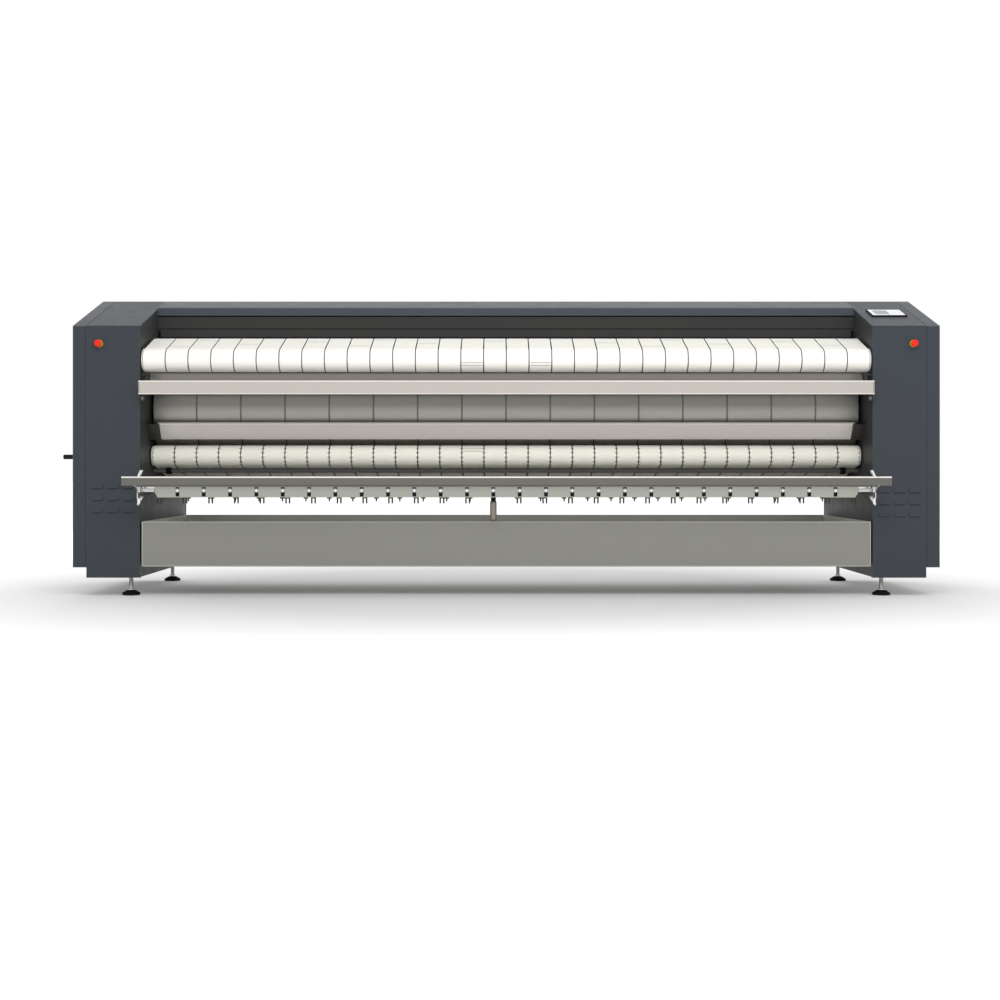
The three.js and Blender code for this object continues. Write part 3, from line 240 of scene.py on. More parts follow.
slate = painted("slate_paint", rgb(55, 59, 68), rgb(55, 60, 64), 0.46, gloss=0.26)
# lighter edge paint: partly wear, partly a painted highlight on the rounded folds
slate_edge_wear_and_highlight = painted("slate_paint_rubbed_and_highlit", rgb(92, 96, 104), rgb(84, 89, 95), 0.4, gloss=0.3)
# a slightly darker, duller copy of the slate paint: painted shade for the side frames in shadow
slate_inside_shaded = painted("slate_paint_inside_shaded", rgb(52, 56, 58), rgb(56, 57, 56), 0.5, gloss=0.2)
slate_hood = painted("slate_paint_hood", rgb(66, 70, 79), rgb(64, 69, 75), 0.42, gloss=0.2)
charcoal = painted("charcoal_paint", rgb(52, 52, 53), rgb(56, 56, 54), 0.6, gloss=0.15)
# lighter edge paint: partly wear, partly a painted highlight on the rounded folds
charcoal_edge_wear_and_highlight = painted("charcoal_paint_rubbed_and_highlit", rgb(84, 84, 84), rgb(92, 91, 88), 0.5)
casting = painted("casting_paint", rgb(62, 78, 88), rgb(58, 70, 78), 0.5, peel=0.0004)
grey_moulding = painted("grey_moulding", rgb(186, 189, 194), rgb(178, 180, 184), 0.45)

# %% [markdown]
# ## Brushed steel
#
# The bars, the bin and the rail are stainless sheet, brushed along their length. Brushing is
# a noise that is drawn out far along x and fine across it: it changes the colour a little, the
# roughness more, and a very small bump spreads each highlight across the grain. The bars
# differ in tone, so the colour is an argument; the tones are a painted reflection, standing
# in for the brighter and darker surroundings that each bar mirrors.

# %% Steel finishes
def brushed(name, colour, roughness=0.3, grain=(0.5, 90.0, 90.0), bands=0.05, metallic=1.0):
    f = Finish(name, Metallic=metallic)
    fine = f.noise(9.0, grain, detail=3.0)
    broad = f.noise(2.0, tuple(0.15 * g for g in grain), detail=2.0)
    light, dark = [tuple(min(1, c * k) for c in colour[:3]) + (1,) for k in (1 + bands, 1 - bands)]
    f.feed("Base Color", f.blend(broad * 0.6 + fine * 0.4, dark, light))
    f.feed("Roughness", roughness + (fine - 0.5) * 0.16 + (broad - 0.5) * 0.08)
    f.bump(fine, 0.00004, 0.3)
    return f.material


# the bars' different tones are painted reflection: one stainless steel, lighter or darker per bar
guard_steel = brushed("guard_steel", rgb(196, 189, 183), 0.34)
cover_steel = brushed("cover_steel", rgb(232, 226, 219), 0.24, metallic=0.35)
rail_steel = brushed("rail_steel", rgb(110, 108, 103), 0.3)
plate_steel = brushed("plate_steel", rgb(168, 169, 161), 0.36)
pan_steel = brushed("pan_steel", rgb(146, 142, 136), 0.38, bands=0.03)
bin_steel = brushed("bin_steel", rgb(137, 136, 130), 0.4, bands=0.03, metallic=0.55)
# painted light: a lighter steel for the bin's inside, standing in for the light that reaches into it
bin_inside_painted_light = brushed("bin_inside_painted_light", rgb(194, 192, 185), 0.34, bands=0.03, metallic=0.4)
# painted highlight: the hems are a lighter steel than the bin, for the light lines along its edges
hem_highlight_steel = brushed("hem_highlight_steel", rgb(172, 172, 165), 0.35, bands=0.03)
turned_steel = brushed("turned_steel", rgb(120, 118, 114), 0.34, grain=(60.0, 60.0, 60.0))
dark_steel = brushed("dark_steel", rgb(84, 82, 78), 0.4, grain=(60.0, 60.0, 60.0))
grip_steel = brushed("grip_steel", rgb(140, 135, 126), 0.4, grain=(60.0, 60.0, 60.0))
zinc = brushed("zinc_plating", rgb(205, 206, 204), 0.28, grain=(40.0, 40.0, 40.0))
bright_steel = brushed("bright_steel", rgb(226, 226, 224), 0.16, grain=(40.0, 40.0, 40.0), bands=0.02)
# painted highlight: a lighter steel for the upper bends and the guard's ends, where light falls
painted_highlight_steel = brushed("painted_highlight_steel", rgb(236, 232, 226), 0.3, bands=0.03, metallic=0.4)

# %% [markdown]
# ## The cylinder's steel
#
# The cylinder is ground and worn smooth by miles of linen. Fifteen stripping fingers ride
# on it and leave fifteen fine dark rings, one at every second gap between the belts. The
# rings follow x alone, so they are written as a distance to the nearest of a row of planes.

# %% Cylinder finish
RING_FADE = 0.0052       # metres from a ring's middle to clean steel
RINGS_END = 1.50         # metres from the middle plane, past the outermost ring


def cylinder_finish():
    f = Finish("cylinder_steel", Metallic=1.0)
    step = 2 * BELT_PITCH * MM
    from_middle = f.axis("X") - middle
    across = from_middle / step
    to_ring = (across - f.maths("ROUND", across)) * step
    past_last = f.ramp(f.maths("ABSOLUTE", from_middle), RINGS_END, RINGS_END + 0.002)
    ring = f.near(to_ring, RING_FADE) * (1 - past_last)
    polish = f.noise(6.0, (60.0, 2.0, 2.0), detail=3.0)
    cloud = f.noise(2.2, detail=3.0)
    steel = f.blend(cloud * 0.5 + polish * 0.5, rgb(144, 142, 136), rgb(160, 158, 152))
    f.feed("Base Color", f.blend(ring * 0.55, steel, rgb(74, 72, 66)))
    f.feed("Roughness", 0.4 + (polish - 0.5) * 0.14 + ring * 0.2)
    f.bump(polish, 0.00003, 0.2)
    return f.material


cylinder_steel = cylinder_finish()

# %% [markdown]
# ## Belting
#
# Both sets of belts are woven. The belts carry two numbers on their points: `run`, the
# distance along the belt, and `splice`, the distance from the place where its ends are
# joined. The weave is a product of two sine waves, one across and one along the belt, and
# the splice is a pair of pressed lines. The border beside each gap is painted whiter, a
# painted highlight for the light on the belts' edges. The feed belts are bright
# white and a little creamy in the weave's hollows. The ironing belts are warmer, and dark
# stitches hold their borders.

# %% Belt finishes
BORDER = (0.0068, 0.0078)    # metres from the middle of a gap: where the border fades out
PRESSED_LINE = 0.0065        # metres from the splice to each of its two lines
LINE_FADE = 0.0026           # metres from a line's middle to plain cloth
STITCH_PITCH = 0.021         # metres


def belting(name, colour, hollow, thread, stitched=0.0):
    f = Finish(name, Roughness=0.92, Sheen_Weight=0.12, Sheen_Roughness=0.5, Specular_IOR_Level=0.25)
    across = (f.axis("X") - middle) / (BELT_PITCH * MM)
    to_gap = f.maths("ABSOLUTE", across - f.maths("ROUND", across)) * (BELT_PITCH * MM)
    border = 1 - f.ramp(to_gap, *BORDER)
    run = f.node("ShaderNodeAttribute", {"attribute_name": "run"}, out="Fac")
    splice = f.node("ShaderNodeAttribute", {"attribute_name": "splice"}, out="Fac")
    turns = 2 * math.pi / thread
    warp = f.maths("SINE", f.axis("X") * turns)
    weft = f.maths("SINE", run * turns)
    weave = warp * weft * 0.5 + 0.5
    seam = f.near(f.maths("ABSOLUTE", splice) - PRESSED_LINE, LINE_FADE)
    worn = f.noise(3.0, (6.0, 1.0, 1.0), detail=4.0)
    cloth = f.blend(weave * 0.3 + worn * 0.4, hollow, colour)
    stitches = f.ramp(f.maths("SINE", run * (2 * math.pi / STITCH_PITCH)), 0.1, 0.5)
    stitch = stitches * border * stitched
    marked = f.blend(f.maths("MAXIMUM", seam * 0.55, stitch), cloth, rgb(118, 112, 100))
    # the whiter border beside each gap is a painted highlight on the belts' edges
    f.feed("Base Color", f.blend((border - stitch) * 0.8, marked, rgb(252, 252, 248)))
    f.bump(weave + (seam + stitch) * -1.2, 0.0003, 0.6)
    return f.material


feed_belting = belting("feed_belting", rgb(253, 253, 249), rgb(243, 240, 230), 0.0022)
ironing_belting = belting("ironing_belting", rgb(248, 247, 238), rgb(232, 230, 216), 0.0026,
                          stitched=0.75)

# %% [markdown]
# ## Rubber, plastic and glass
#
# The small parts use the same pattern: one colour, a fine moulded grain, and roughness that
# is not quite even.

# %% Moulded finishes
MOULDED_GRAIN = 300.0    # noise cells to a metre


def moulded(name, colour, roughness, depth=0.00008, **constants):
    f = Finish(name, **constants)
    cloud = f.noise(18.0, detail=3.0)
    light, dark = [tuple(c * k for c in colour[:3]) + (1.0,) for k in (1.08, 0.92)]
    f.feed("Base Color", f.blend(cloud, dark, light))
    f.feed("Roughness", roughness + (cloud - 0.5) * 0.12)
    f.bump(f.noise(MOULDED_GRAIN), depth, 0.3)
    return f.material


rubber = moulded("black_rubber", rgb(16, 16, 17), 0.75, Specular_IOR_Level=0.15)
black_plastic = moulded("black_plastic", rgb(16, 16, 17), 0.5, Specular_IOR_Level=0.2)
pale_plastic = moulded("pale_plastic", rgb(214, 212, 200), 0.5)
screen_white = moulded("screen_white", rgb(246, 246, 246), 0.35, depth=0.0)
screen_blue = moulded("screen_blue", rgb(120, 124, 150), 0.35, depth=0.0)
screen_grey = moulded("screen_grey", rgb(196, 198, 202), 0.35, depth=0.0)
stop_red = moulded("stop_red", rgb(232, 40, 18), 0.35, Specular_IOR_Level=0.3)
stop_yellow = moulded("stop_yellow", rgb(196, 160, 18), 0.45)
print("finishes:", len(bpy.data.materials))

# %% [markdown]
# ## Making pieces
#
# A piece is drawn in a bmesh and handed to `piece`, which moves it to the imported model's
# frame, turns its faces outwards, shades it smooth up to a given angle, and says what it
# rides on, what it replaces and which finish it takes. `dress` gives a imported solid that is
# already right a finish of its own.

# %% piece and dress
BROAD_FACES_WIN = 100    # a bevel takes its shading from the flat face beside it
SMOOTH_UP_TO = 35        # degrees between faces that are shaded as one


def piece(name, bm, body, finish, nodes=(), in_row=False):
    """finish is one material, or several, of which the second is for the bevelled edges."""
    if not in_row:
        bm.transform(to_row)
    bmesh.ops.recalc_face_normals(bm, faces=bm.faces)
    mesh = bpy.data.meshes.new(name)
    bm.to_mesh(mesh)
    bm.free()
    for material in finish if isinstance(finish, tuple) else (finish,):
        mesh.materials.append(material)
    mesh.polygons.foreach_set("use_smooth", [True] * len(mesh.polygons))
    mesh.set_sharp_from_angle(angle=math.radians(SMOOTH_UP_TO))
    obj = bpy.data.objects.new(name, mesh)
    bpy.context.scene.collection.objects.link(obj)
    even = obj.modifiers.new("even_faces", "WEIGHTED_NORMAL")
    even.keep_sharp, even.weight = True, BROAD_FACES_WIN
    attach(obj, body)
    if nodes:
        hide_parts(*nodes)
    print(f"{name}: {len(mesh.polygons)} faces, rides on {body}")
    return obj


def dress(finish, *nodes):
    for node in nodes:
        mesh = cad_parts[node].data
        mesh.materials.clear()
        mesh.materials.append(finish)
    print(f"{finish.name} on", ", ".join(nodes))

# %% [markdown]
# ## Softer edges on sheet metal
#
# A folded sheet never has a sharp corner. `softened` copies a imported solid, merges its loose
# triangles and joins the flat ones to whole faces. It first rounds the outer folds, the
# convex edges between two broad faces, and gives the rounding the second finish, on paint a
# lighter one: partly wear, partly a painted highlight. Then it takes the sharpness off the cut
# edges, by less than half a sheet's thickness, so that the two sides of a sheet don't meet.

# %% softened
BROAD = 8                # mm: wider than any sheet's cut edge
CORNER = 25              # degrees: an edge that turns more is a corner or a fold
FLAT = 0.5               # degrees: faces that turn less are one


def broad(face):
    """A face that is wider than a sheet's edge, judged by its area over half its outline."""
    return face.calc_area() / (sum(e.calc_length() for e in face.edges) / 2) > BROAD * MM


def softened(node, body, finish, width=0.8, fold=0.0, adjust=None):
    bm = bmesh.new()
    bm.from_mesh(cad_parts[node].data)
    bmesh.ops.remove_doubles(bm, verts=bm.verts, dist=1e-6)
    bmesh.ops.dissolve_limit(bm, angle_limit=math.radians(FLAT), verts=bm.verts, edges=bm.edges)
    if adjust:
        adjust(bm)

    def sharp():
        edges = [e for e in bm.edges if len(e.link_faces) == 2]
        edges = [e for e in edges if e.calc_face_angle() > math.radians(CORNER)]
        return [e for e in edges if not any(f.material_index for f in e.link_faces)]

    folds = []
    if fold:
        folds = [e for e in sharp() if e.is_convex and all(broad(f) for f in e.link_faces)]
    if folds:
        bmesh.ops.bevel(bm, geom=folds, affect="EDGES", offset=fold * MM, segments=3,
                        profile=0.5, material=1, clamp_overlap=True)
    bmesh.ops.bevel(bm, geom=sharp(), affect="EDGES", offset=width * MM, segments=2,
                    profile=0.5, material=-1, clamp_overlap=True)
    return piece(f"{node}_soft", bm, body, finish, [node], in_row=True)

# %% [markdown]
# ## Turned, folded and repeated shapes
#
# `turned` spins an outline of radius and distance round an axis. `folded` pulls a bent line
# along x, rounds its bends and gives it a sheet's thickness. `block` is a bevelled bar, and
# `prism` pulls a flat outline to a solid. `joined` and `repeated` put shapes together in one
# mesh.

# %% Shape helpers
TURN_TO = {
    "X": Matrix.Identity(4),
    "Y": Matrix.Rotation(math.pi / 2, 4, "Z"),
    "Z": Matrix.Rotation(-math.pi / 2, 4, "Y"),
}


def turned(profile, centre, segments, axis="X"):
    """An outline of (radius, along) points, spun round an axis through centre."""
    bm = bmesh.new()
    verts = [bm.verts.new((a, 0, r)) for r, a in profile]
    edges = [bm.edges.new(pair) for pair in zip(verts, verts[1:])]
    bmesh.ops.spin(bm, geom=verts + edges, cent=(0, 0, 0), axis=(1, 0, 0), angle=2 * math.pi,
                   steps=segments, use_merge=True, use_duplicate=False)
    bmesh.ops.remove_doubles(bm, verts=bm.verts, dist=1e-3)
    a, b = centre
    place = {"X": (0, a, b), "Y": (a, 0, b), "Z": (a, b, 0)}[axis]
    bm.transform(Matrix.Translation(place) @ TURN_TO[axis])
    bmesh.ops.recalc_face_normals(bm, faces=bm.faces)
    return bm


def rod(radius, a, b, centre, segments=24, axis="X", edge=0.8):
    lo, hi = min(a, b), max(a, b)
    edge = min(edge, (hi - lo) / 3, radius / 3)
    profile = [(0, lo), (radius - edge, lo), (radius, lo + edge)]
    profile += [(radius, hi - edge), (radius - edge, hi), (0, hi)]
    return turned(profile, centre, segments, axis)


def folded(line, x0, x1, thickness, bend=3.0, painted_highlight_above=None):
    """Sheet metal: a (y, z) line pulled along x, its bends rounded, thickened to the line's left.
    Bends above a given height take the second of a pair of finishes, a painted highlight."""
    bm = bmesh.new()
    verts = [bm.verts.new((x0, y, z)) for y, z in line]
    edges = [bm.edges.new(pair) for pair in zip(verts, verts[1:])]
    pulled = bmesh.ops.extrude_edge_only(bm, edges=edges)["geom"]
    moved = [v for v in pulled if isinstance(v, bmesh.types.BMVert)]
    bmesh.ops.translate(bm, verts=moved, vec=(x1 - x0, 0, 0))
    bm.normal_update()
    bm.faces.ensure_lookup_table()
    dy, dz = line[1][0] - line[0][0], line[1][1] - line[0][1]
    if bm.faces[0].normal.dot(Vector((0, -dz, dy))) > 0:
        bmesh.ops.reverse_faces(bm, faces=bm.faces)
    bends = [e for e in bm.edges if len(e.link_faces) == 2]
    if bends:
        rounded = bmesh.ops.bevel(bm, geom=bends, affect="EDGES", offset=bend, segments=5,
                                  profile=0.5, material=-1)["faces"]
        for f in rounded:
            if painted_highlight_above is not None and f.calc_center_median().z > painted_highlight_above:
                f.material_index = 1
    bm.normal_update()
    bmesh.ops.solidify(bm, geom=bm.faces[:], thickness=-thickness)
    return bm


def block(x0, x1, y0, y1, z0, z1, edge):
    bm = bmesh.new()
    size = Vector((abs(x1 - x0), abs(y1 - y0), abs(z1 - z0)))
    centre = Vector((x0 + x1, y0 + y1, z0 + z1)) / 2
    bmesh.ops.create_cube(bm, size=1, matrix=Matrix.Translation(centre) @ Matrix.Diagonal((*size, 1)))
    bmesh.ops.bevel(bm, geom=bm.edges[:], affect="EDGES", offset=min(edge, min(size) / 3),
                    segments=2, profile=0.5, material=-1)
    return bm


def prism(outline, along, edge=0.0):
    """A flat outline of points, pulled along a vector to a solid."""
    bm = bmesh.new()
    face = bm.faces.new([bm.verts.new(point) for point in outline])
    made = bmesh.ops.extrude_face_region(bm, geom=[face])["geom"]
    moved = [v for v in made if isinstance(v, bmesh.types.BMVert)]
    bmesh.ops.translate(bm, verts=moved, vec=along)
    bmesh.ops.recalc_face_normals(bm, faces=bm.faces)
    if edge:
        bmesh.ops.bevel(bm, geom=bm.edges[:], affect="EDGES", offset=edge, segments=2,
                        profile=0.5, material=-1)
    return bm


def joined(parts):
    whole = bmesh.new()
    for part in parts:
        mesh = bpy.data.meshes.new("part")
        part.to_mesh(mesh)
        part.free()
        whole.from_mesh(mesh)
        bpy.data.meshes.remove(mesh)
    return whole


def repeated(part, places):
    mesh = bpy.data.meshes.new("part")
    part.to_mesh(mesh)
    part.free()
    whole = bmesh.new()
    for place in places:
        before = len(whole.verts)
        whole.from_mesh(mesh)
        whole.verts.ensure_lookup_table()
        bmesh.ops.translate(whole, verts=whole.verts[before:], vec=place)
    bpy.data.meshes.remove(mesh)
    return whole

# %% [markdown]
# ## Housings and cross members
#
# The housings are folded and pressed sheet, so the imported solids have the right shape, with
# their flanges, seams and louvres. They only need soft edges and paint. The side frames,
# seen past the cylinder's ends, take a slightly greyer and duller copy of the slate paint:
# a painted shade for the shadow they stand in.

# %% Housings
SIDES = (("left", -1), ("right", 1))
for word, side in SIDES:
    for part in ("front_panel", "top_cover", "rear_panel", "side_cover"):
        softened(f"{part}_{word}", "frame", (slate, slate_edge_wear_and_highlight), fold=2.5)
    # the side frames take the shaded copy of the slate paint: painted shade
    softened(f"side_frame_{word}", "frame", (slate_inside_shaded, slate_edge_wear_and_highlight), fold=2.5)
    dress(zinc, f"base_rail_{word}")
    dress(casting, f"cylinder_bearing_{word}")
for part in ("rear_cover", "rear_tie_beam", "upper_tie_beam"):
    softened(part, "frame", (slate, slate_edge_wear_and_highlight), fold=2.5)


def crowned(bm):
    """The hood's front edge is folded a little higher than the slope of the housings."""
    edge_depth, edge_height, rise = 0.37, 1.33, 0.006
    for v in bm.verts:
        if v.co.y < front + edge_depth and v.co.z > edge_height:
            v.co.z += rise


softened("hood", "frame", (slate_hood, slate_edge_wear_and_highlight), fold=2.5, adjust=crowned)
softened("hood_inner_panel", "frame", (charcoal, charcoal_edge_wear_and_highlight), fold=2.0)
dress(charcoal, "nip_flap", "heater_tube")

# %% Screws of the rear panels
rear = BODY_DEPTH
screw = turned([
    (0, rear - 0.4), (7, rear - 0.4), (7, rear + 0.8), (4.8, rear + 1.1), (4.6, rear + 2.6),
    (3.6, rear + 3.2), (1.6, rear + 3.2), (1.4, rear + 1.8), (0, rear + 1.8),
], (0, 0), 18, "Y")
SCREW_PITCH = 310
COVER_ROWS = (1384, 458)
PANEL_COLUMNS = (1700, 1905)
PANEL_ROWS = (1370, 560, 130)
rows = [(n * SCREW_PITCH, 0, z) for n in range(-5, 6) for z in COVER_ROWS]
rows += [(side * x, 0, z) for _, side in SIDES for x in PANEL_COLUMNS for z in PANEL_ROWS]
piece("rear_screws", repeated(screw, rows), "frame", zinc)

# %% [markdown]
# ## Cylinder and rolls
#
# A cylinder of twenty-four flats would show them in its gloss. Each round body is spun
# again here with many more, from the same radii and places. The front rolls end in pale
# moulded caps.

# %% Cylinder and rolls
BOSS_END = HALF_GAP + 6 + 14
PULLEY_FACE = HALF_GAP + 60
CAP = (1661.5, 1668)     # a cap's two ends, from the middle plane
CAP_LIP = 2
SLEEVE = (1585, 1612)    # a sleeve's two ends


def both_sides(make):
    """What make(-1) and make(1) give, in one mesh."""
    return joined([make(side) for _, side in SIDES])


def cylinder_shell():
    left, right, half = PULLEY_FACE + 40, HALF_GAP + 48.3, CYLINDER_HALF
    wall, outer = 12, CYLINDER_RADIUS
    inner, bore = half - wall, outer - wall
    return turned([
        (25, -left), (39, -left), (40, -left + 1), (40, -half), (outer - 4, -half), (outer, -half + 4),
        (outer, half - 4), (outer - 4, half), (40, half), (40, right - 1), (39, right), (25, right),
        (25, inner), (bore, inner), (bore, -inner), (25, -inner), (25, -left),
    ], CYLINDER, 160)


def roll(radius, centre):
    end, half = BOSS_END - 2, HALF_GAP - 12
    return turned([
        (0, -end), (14, -end), (15, -end + 1), (15, -half), (radius - 3, -half), (radius, -half + 3),
        (radius, half - 3), (radius - 3, half), (15, half), (15, end - 1), (14, end), (0, end),
    ], centre, 64)


piece("cylinder_shell", cylinder_shell(), "cylinder_drum", cylinder_steel, ["cylinder"])
for node, radius, centre in (
    ("press_roll", PRESS_RADIUS, PRESS),
    ("exit_roll", EXIT_RADIUS, EXIT),
    ("rear_upper_roll", REAR_RADIUS, REAR_UPPER),
    ("rear_lower_roll", REAR_RADIUS, REAR_LOWER),
    ("feed_front_roll", FEED_FRONT_RADIUS, FEED_FRONT),
    ("feed_rear_roll", FEED_REAR_RADIUS, FEED_REAR),
):
    piece(f"{node}_turned", roll(radius, centre), f"{node}_body", turned_steel, [node])
for name, radius, centre in (
    ("feed_front_roll", FEED_FRONT_RADIUS, FEED_FRONT),
    ("exit_roll", EXIT_RADIUS, EXIT),
):
    caps = both_sides(lambda side: rod(radius + CAP_LIP, side * CAP[0], side * CAP[1],
                                       centre, 48, edge=2.5))
    piece(f"{name}_caps", caps, f"{name}_body", pale_plastic)

TIE_ROD = (280, 573.1)
tie_bar = rod(10.5, -SPAN, SPAN, TIE_ROD, 32)
# The whole bar takes the lighter edge charcoal: a painted highlight for the thin line of light along
# its top.
piece("tie_rod_bar", tie_bar, "frame", charcoal_edge_wear_and_highlight, ["tie_rod"])
sleeves = both_sides(lambda side: rod(17, side * SLEEVE[0], side * SLEEVE[1], TIE_ROD, 32, edge=3))
piece("tie_rod_sleeves", sleeves, "frame", rubber)

# %% [markdown]
# ## Belts
#
# A belt is one closed band round its rolls. Between two rolls it runs straight, and on a
# roll it turns round the roll's axis, so it is drawn the same way: a rounded section is spun
# round each roll in turn and pulled straight to the next, until it meets itself again. The
# angle at which a belt leaves a roll follows from the radii and the distance of the axes.
# A roll that lies outside the loop, as the cylinder does, counts with a negative radius.

# %% A closed belt
def tangents(rolls):
    """Signed radius of the belt's inner face on each roll, and the angle at which it leaves."""
    radii = [side * (r + RUN_GAP + (BELT_THICKNESS if side < 0 else 0)) for _, _, r, side in rolls]
    leave = []
    for i, (y, z, _, _) in enumerate(rolls):
        j = (i + 1) % len(rolls)
        dy, dz = rolls[j][0] - y, rolls[j][1] - z
        leave.append(math.atan2(dz, dy) - math.acos((radii[i] - radii[j]) / math.hypot(dy, dz)))
    return radii, leave


def on_roll(around, radius, angle):
    return Vector((0, around[0] + radius * math.cos(angle), around[1] + radius * math.sin(angle)))


def belt(rolls, width, facet):
    """A belt from x = 0 to its width. Its points carry the distance along it."""
    radii, leave = tangents(rolls)
    bm = bmesh.new()
    run = bm.verts.layers.float.new("run")
    bm.verts.layers.float.new("splice")
    cut, thick = 0.8, BELT_THICKNESS
    section = [(cut, 0), (width - cut, 0), (width, cut), (width, thick - cut)]
    section += [(width - cut, thick), (cut, thick), (0, thick - cut), (0, cut)]
    start = [on_roll(rolls[0], radii[0] + h, leave[-1]) + Vector((x, 0, 0)) for x, h in section]
    verts = [bm.verts.new(place) for place in start]
    edges = [bm.edges.new((v, verts[(k + 1) % len(verts)])) for k, v in enumerate(verts)]
    ring, length = verts + edges, 0.0

    def mark(geom, distance):
        for v in geom:
            if isinstance(v, bmesh.types.BMVert):
                v[run] = distance * MM

    for i, (y, z, _, side) in enumerate(rolls):
        sweep = ((leave[i] - leave[i - 1]) * side) % (2 * math.pi)
        steps = max(math.ceil(sweep * abs(radii[i]) / facet), math.ceil(sweep / FINE_TURN))
        for _ in range(steps):
            ring = bmesh.ops.spin(bm, geom=ring, cent=(0, y, z), axis=(side, 0, 0),
                                  angle=sweep / steps, steps=1)["geom_last"]
            length += sweep * abs(radii[i]) / steps
            mark(ring, length)
        j = (i + 1) % len(rolls)
        reach = on_roll(rolls[j], radii[j], leave[i]) - on_roll(rolls[i], radii[i], leave[i])
        for part in (1 - 2 / reach.length, 2 / reach.length):
            edges = [e for e in ring if isinstance(e, bmesh.types.BMEdge)]
            ring = bmesh.ops.extrude_edge_only(bm, edges=edges)["geom"]
            ring = [g for g in ring if not isinstance(g, bmesh.types.BMFace)]
            ends = [v for v in ring if isinstance(v, bmesh.types.BMVert)]
            bmesh.ops.translate(bm, verts=ends, vec=reach * part)
            length += reach.length * part
            mark(ring, length)
    bmesh.ops.remove_doubles(bm, verts=bm.verts, dist=0.05)
    print(f"belt {length:.0f} mm long, {len(bm.faces)} faces")
    return bm, length


def belt_set(rolls, facet, splices):
    """All the belts side by side. splices gives each belt's joint, as a part of its length."""
    one, length = belt(rolls, BELT_PITCH - BELT_GAP, facet)
    mesh = bpy.data.meshes.new("one_belt")
    one.to_mesh(mesh)
    one.free()
    bm = bmesh.new()
    for i in range(BELT_COUNT):
        before = len(bm.verts)
        bm.from_mesh(mesh)
        bm.verts.ensure_lookup_table()
        run, splice = bm.verts.layers.float["run"], bm.verts.layers.float["splice"]
        fresh = bm.verts[before:]
        bmesh.ops.translate(bm, verts=fresh, vec=(-BELTS_HALF + i * BELT_PITCH, 0, 0))
        for v in fresh:
            v[splice] = v[run] - splices[i] * length * MM
    bpy.data.meshes.remove(mesh)
    return bm

# %% [markdown]
# ### The two sets
#
# The feed belts turn round a thick roll in front and a thin one at the nip. The ironing
# belts go round four rolls and are pressed along the cylinder between the first and the
# last. Every belt has its splice somewhere else, as belts that were set one by one have.
# Two of the feed belts show theirs on the front roll.

# %% Feed belts and ironing belts
FEED_ROLLS = [(*FEED_FRONT, FEED_FRONT_RADIUS, 1), (*FEED_REAR, FEED_REAR_RADIUS, 1)]
IRONING_ROLLS = [
    (*EXIT, EXIT_RADIUS, 1), (*REAR_LOWER, REAR_RADIUS, 1), (*REAR_UPPER, REAR_RADIUS, 1),
    (*PRESS, PRESS_RADIUS, 1), (*CYLINDER, CYLINDER_RADIUS, -1),
]
scattered = [(0.37 + 0.618 * i) % 1 for i in range(BELT_COUNT)]
feed_splices = [0.45 + 0.5 * s for s in scattered]
SPLICE_ON_ROLL = 0.13
FEED_FACET, IRONING_FACET = 8.0, 14.0    # the longest facet on a roll
for belt_number in (14, 17):
    feed_splices[belt_number] = SPLICE_ON_ROLL

feed_bm = belt_set(FEED_ROLLS, FEED_FACET, feed_splices)
piece("feed_belts", feed_bm, "frame", feed_belting, ["feed_table"])
iron_bm = belt_set(IRONING_ROLLS, IRONING_FACET, scattered)
piece("ironing_belts_woven", iron_bm, "frame", ironing_belting, ["ironing_belts"])

# %% [markdown]
# ## The feed bed
#
# Between the rolls the feed belts slide over a flat bed. It shows only as a thin edge at
# the ends of the table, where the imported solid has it.

# %% Feed bed
def feed_bed():
    radii, leave = tangents(FEED_ROLLS)
    a = on_roll(FEED_ROLLS[0], radii[0], leave[0])
    b = on_roll(FEED_ROLLS[1], radii[1], leave[0])
    along = (b - a).normalized()
    down = Vector((0, along.z, -along.y))
    start, end = a + along * 8, b - along * 4
    corners = [start + down * 32, end + down * 32, end + down * 0.3, start + down * 0.3]
    return prism([(-SPAN, p.y, p.z) for p in corners], (2 * SPAN, 0, 0))


piece("feed_bed", feed_bed(), "frame", charcoal, ["feed_table"])

# %% [markdown]
# ## Bars of folded steel
#
# The hand guard, the exit cover, the guide rail, the pan and the plate are folded from
# sheet. Their bends have a radius of a few millimetres, and in a plain room those bends
# carry most of the highlights, so each is folded again from its line. On the guard all
# bends, and on the cover and the rail the upper bends, also take a painted highlight.

# %% Guard, cover, pan and rail
def channel(front_y, rear_y, bottom, top):
    return [(rear_y, top), (front_y, top), (front_y, bottom), (rear_y, bottom)]


def slab(outline, x0, x1, edge=1.0):
    """A flat plate with a (y, z) outline, from one x to another."""
    return prism([(x0, y, z) for y, z in outline], (x1 - x0, 0, 0), edge)


# %% Hand guard
GUARD_PIVOT = (22, 1012)
GUARD_HALF = 1663
GUARD_LOW, GUARD_HIGH = 918, 981
GUARD_ARM = (1632, 1638)
TAB = (1641, 1660)
guard_arm = [(-69, 919), (-40, 919), (30, 1004), (30, 1022), (12, 1022), (-40, 980), (-69, 980)]
guard_bar = folded(channel(-70, -40, GUARD_LOW, GUARD_HIGH), -GUARD_HALF, GUARD_HALF, 3,
                   bend=5, painted_highlight_above=0)
piece("hand_guard_bar", guard_bar, "guard", (guard_steel, painted_highlight_steel), ["hand_guard"])
ends = both_sides(lambda side: block(side * (GUARD_HALF - 5), side * (GUARD_HALF + 1.5),
                                     -70, -52, GUARD_LOW, GUARD_HIGH, edge=2))
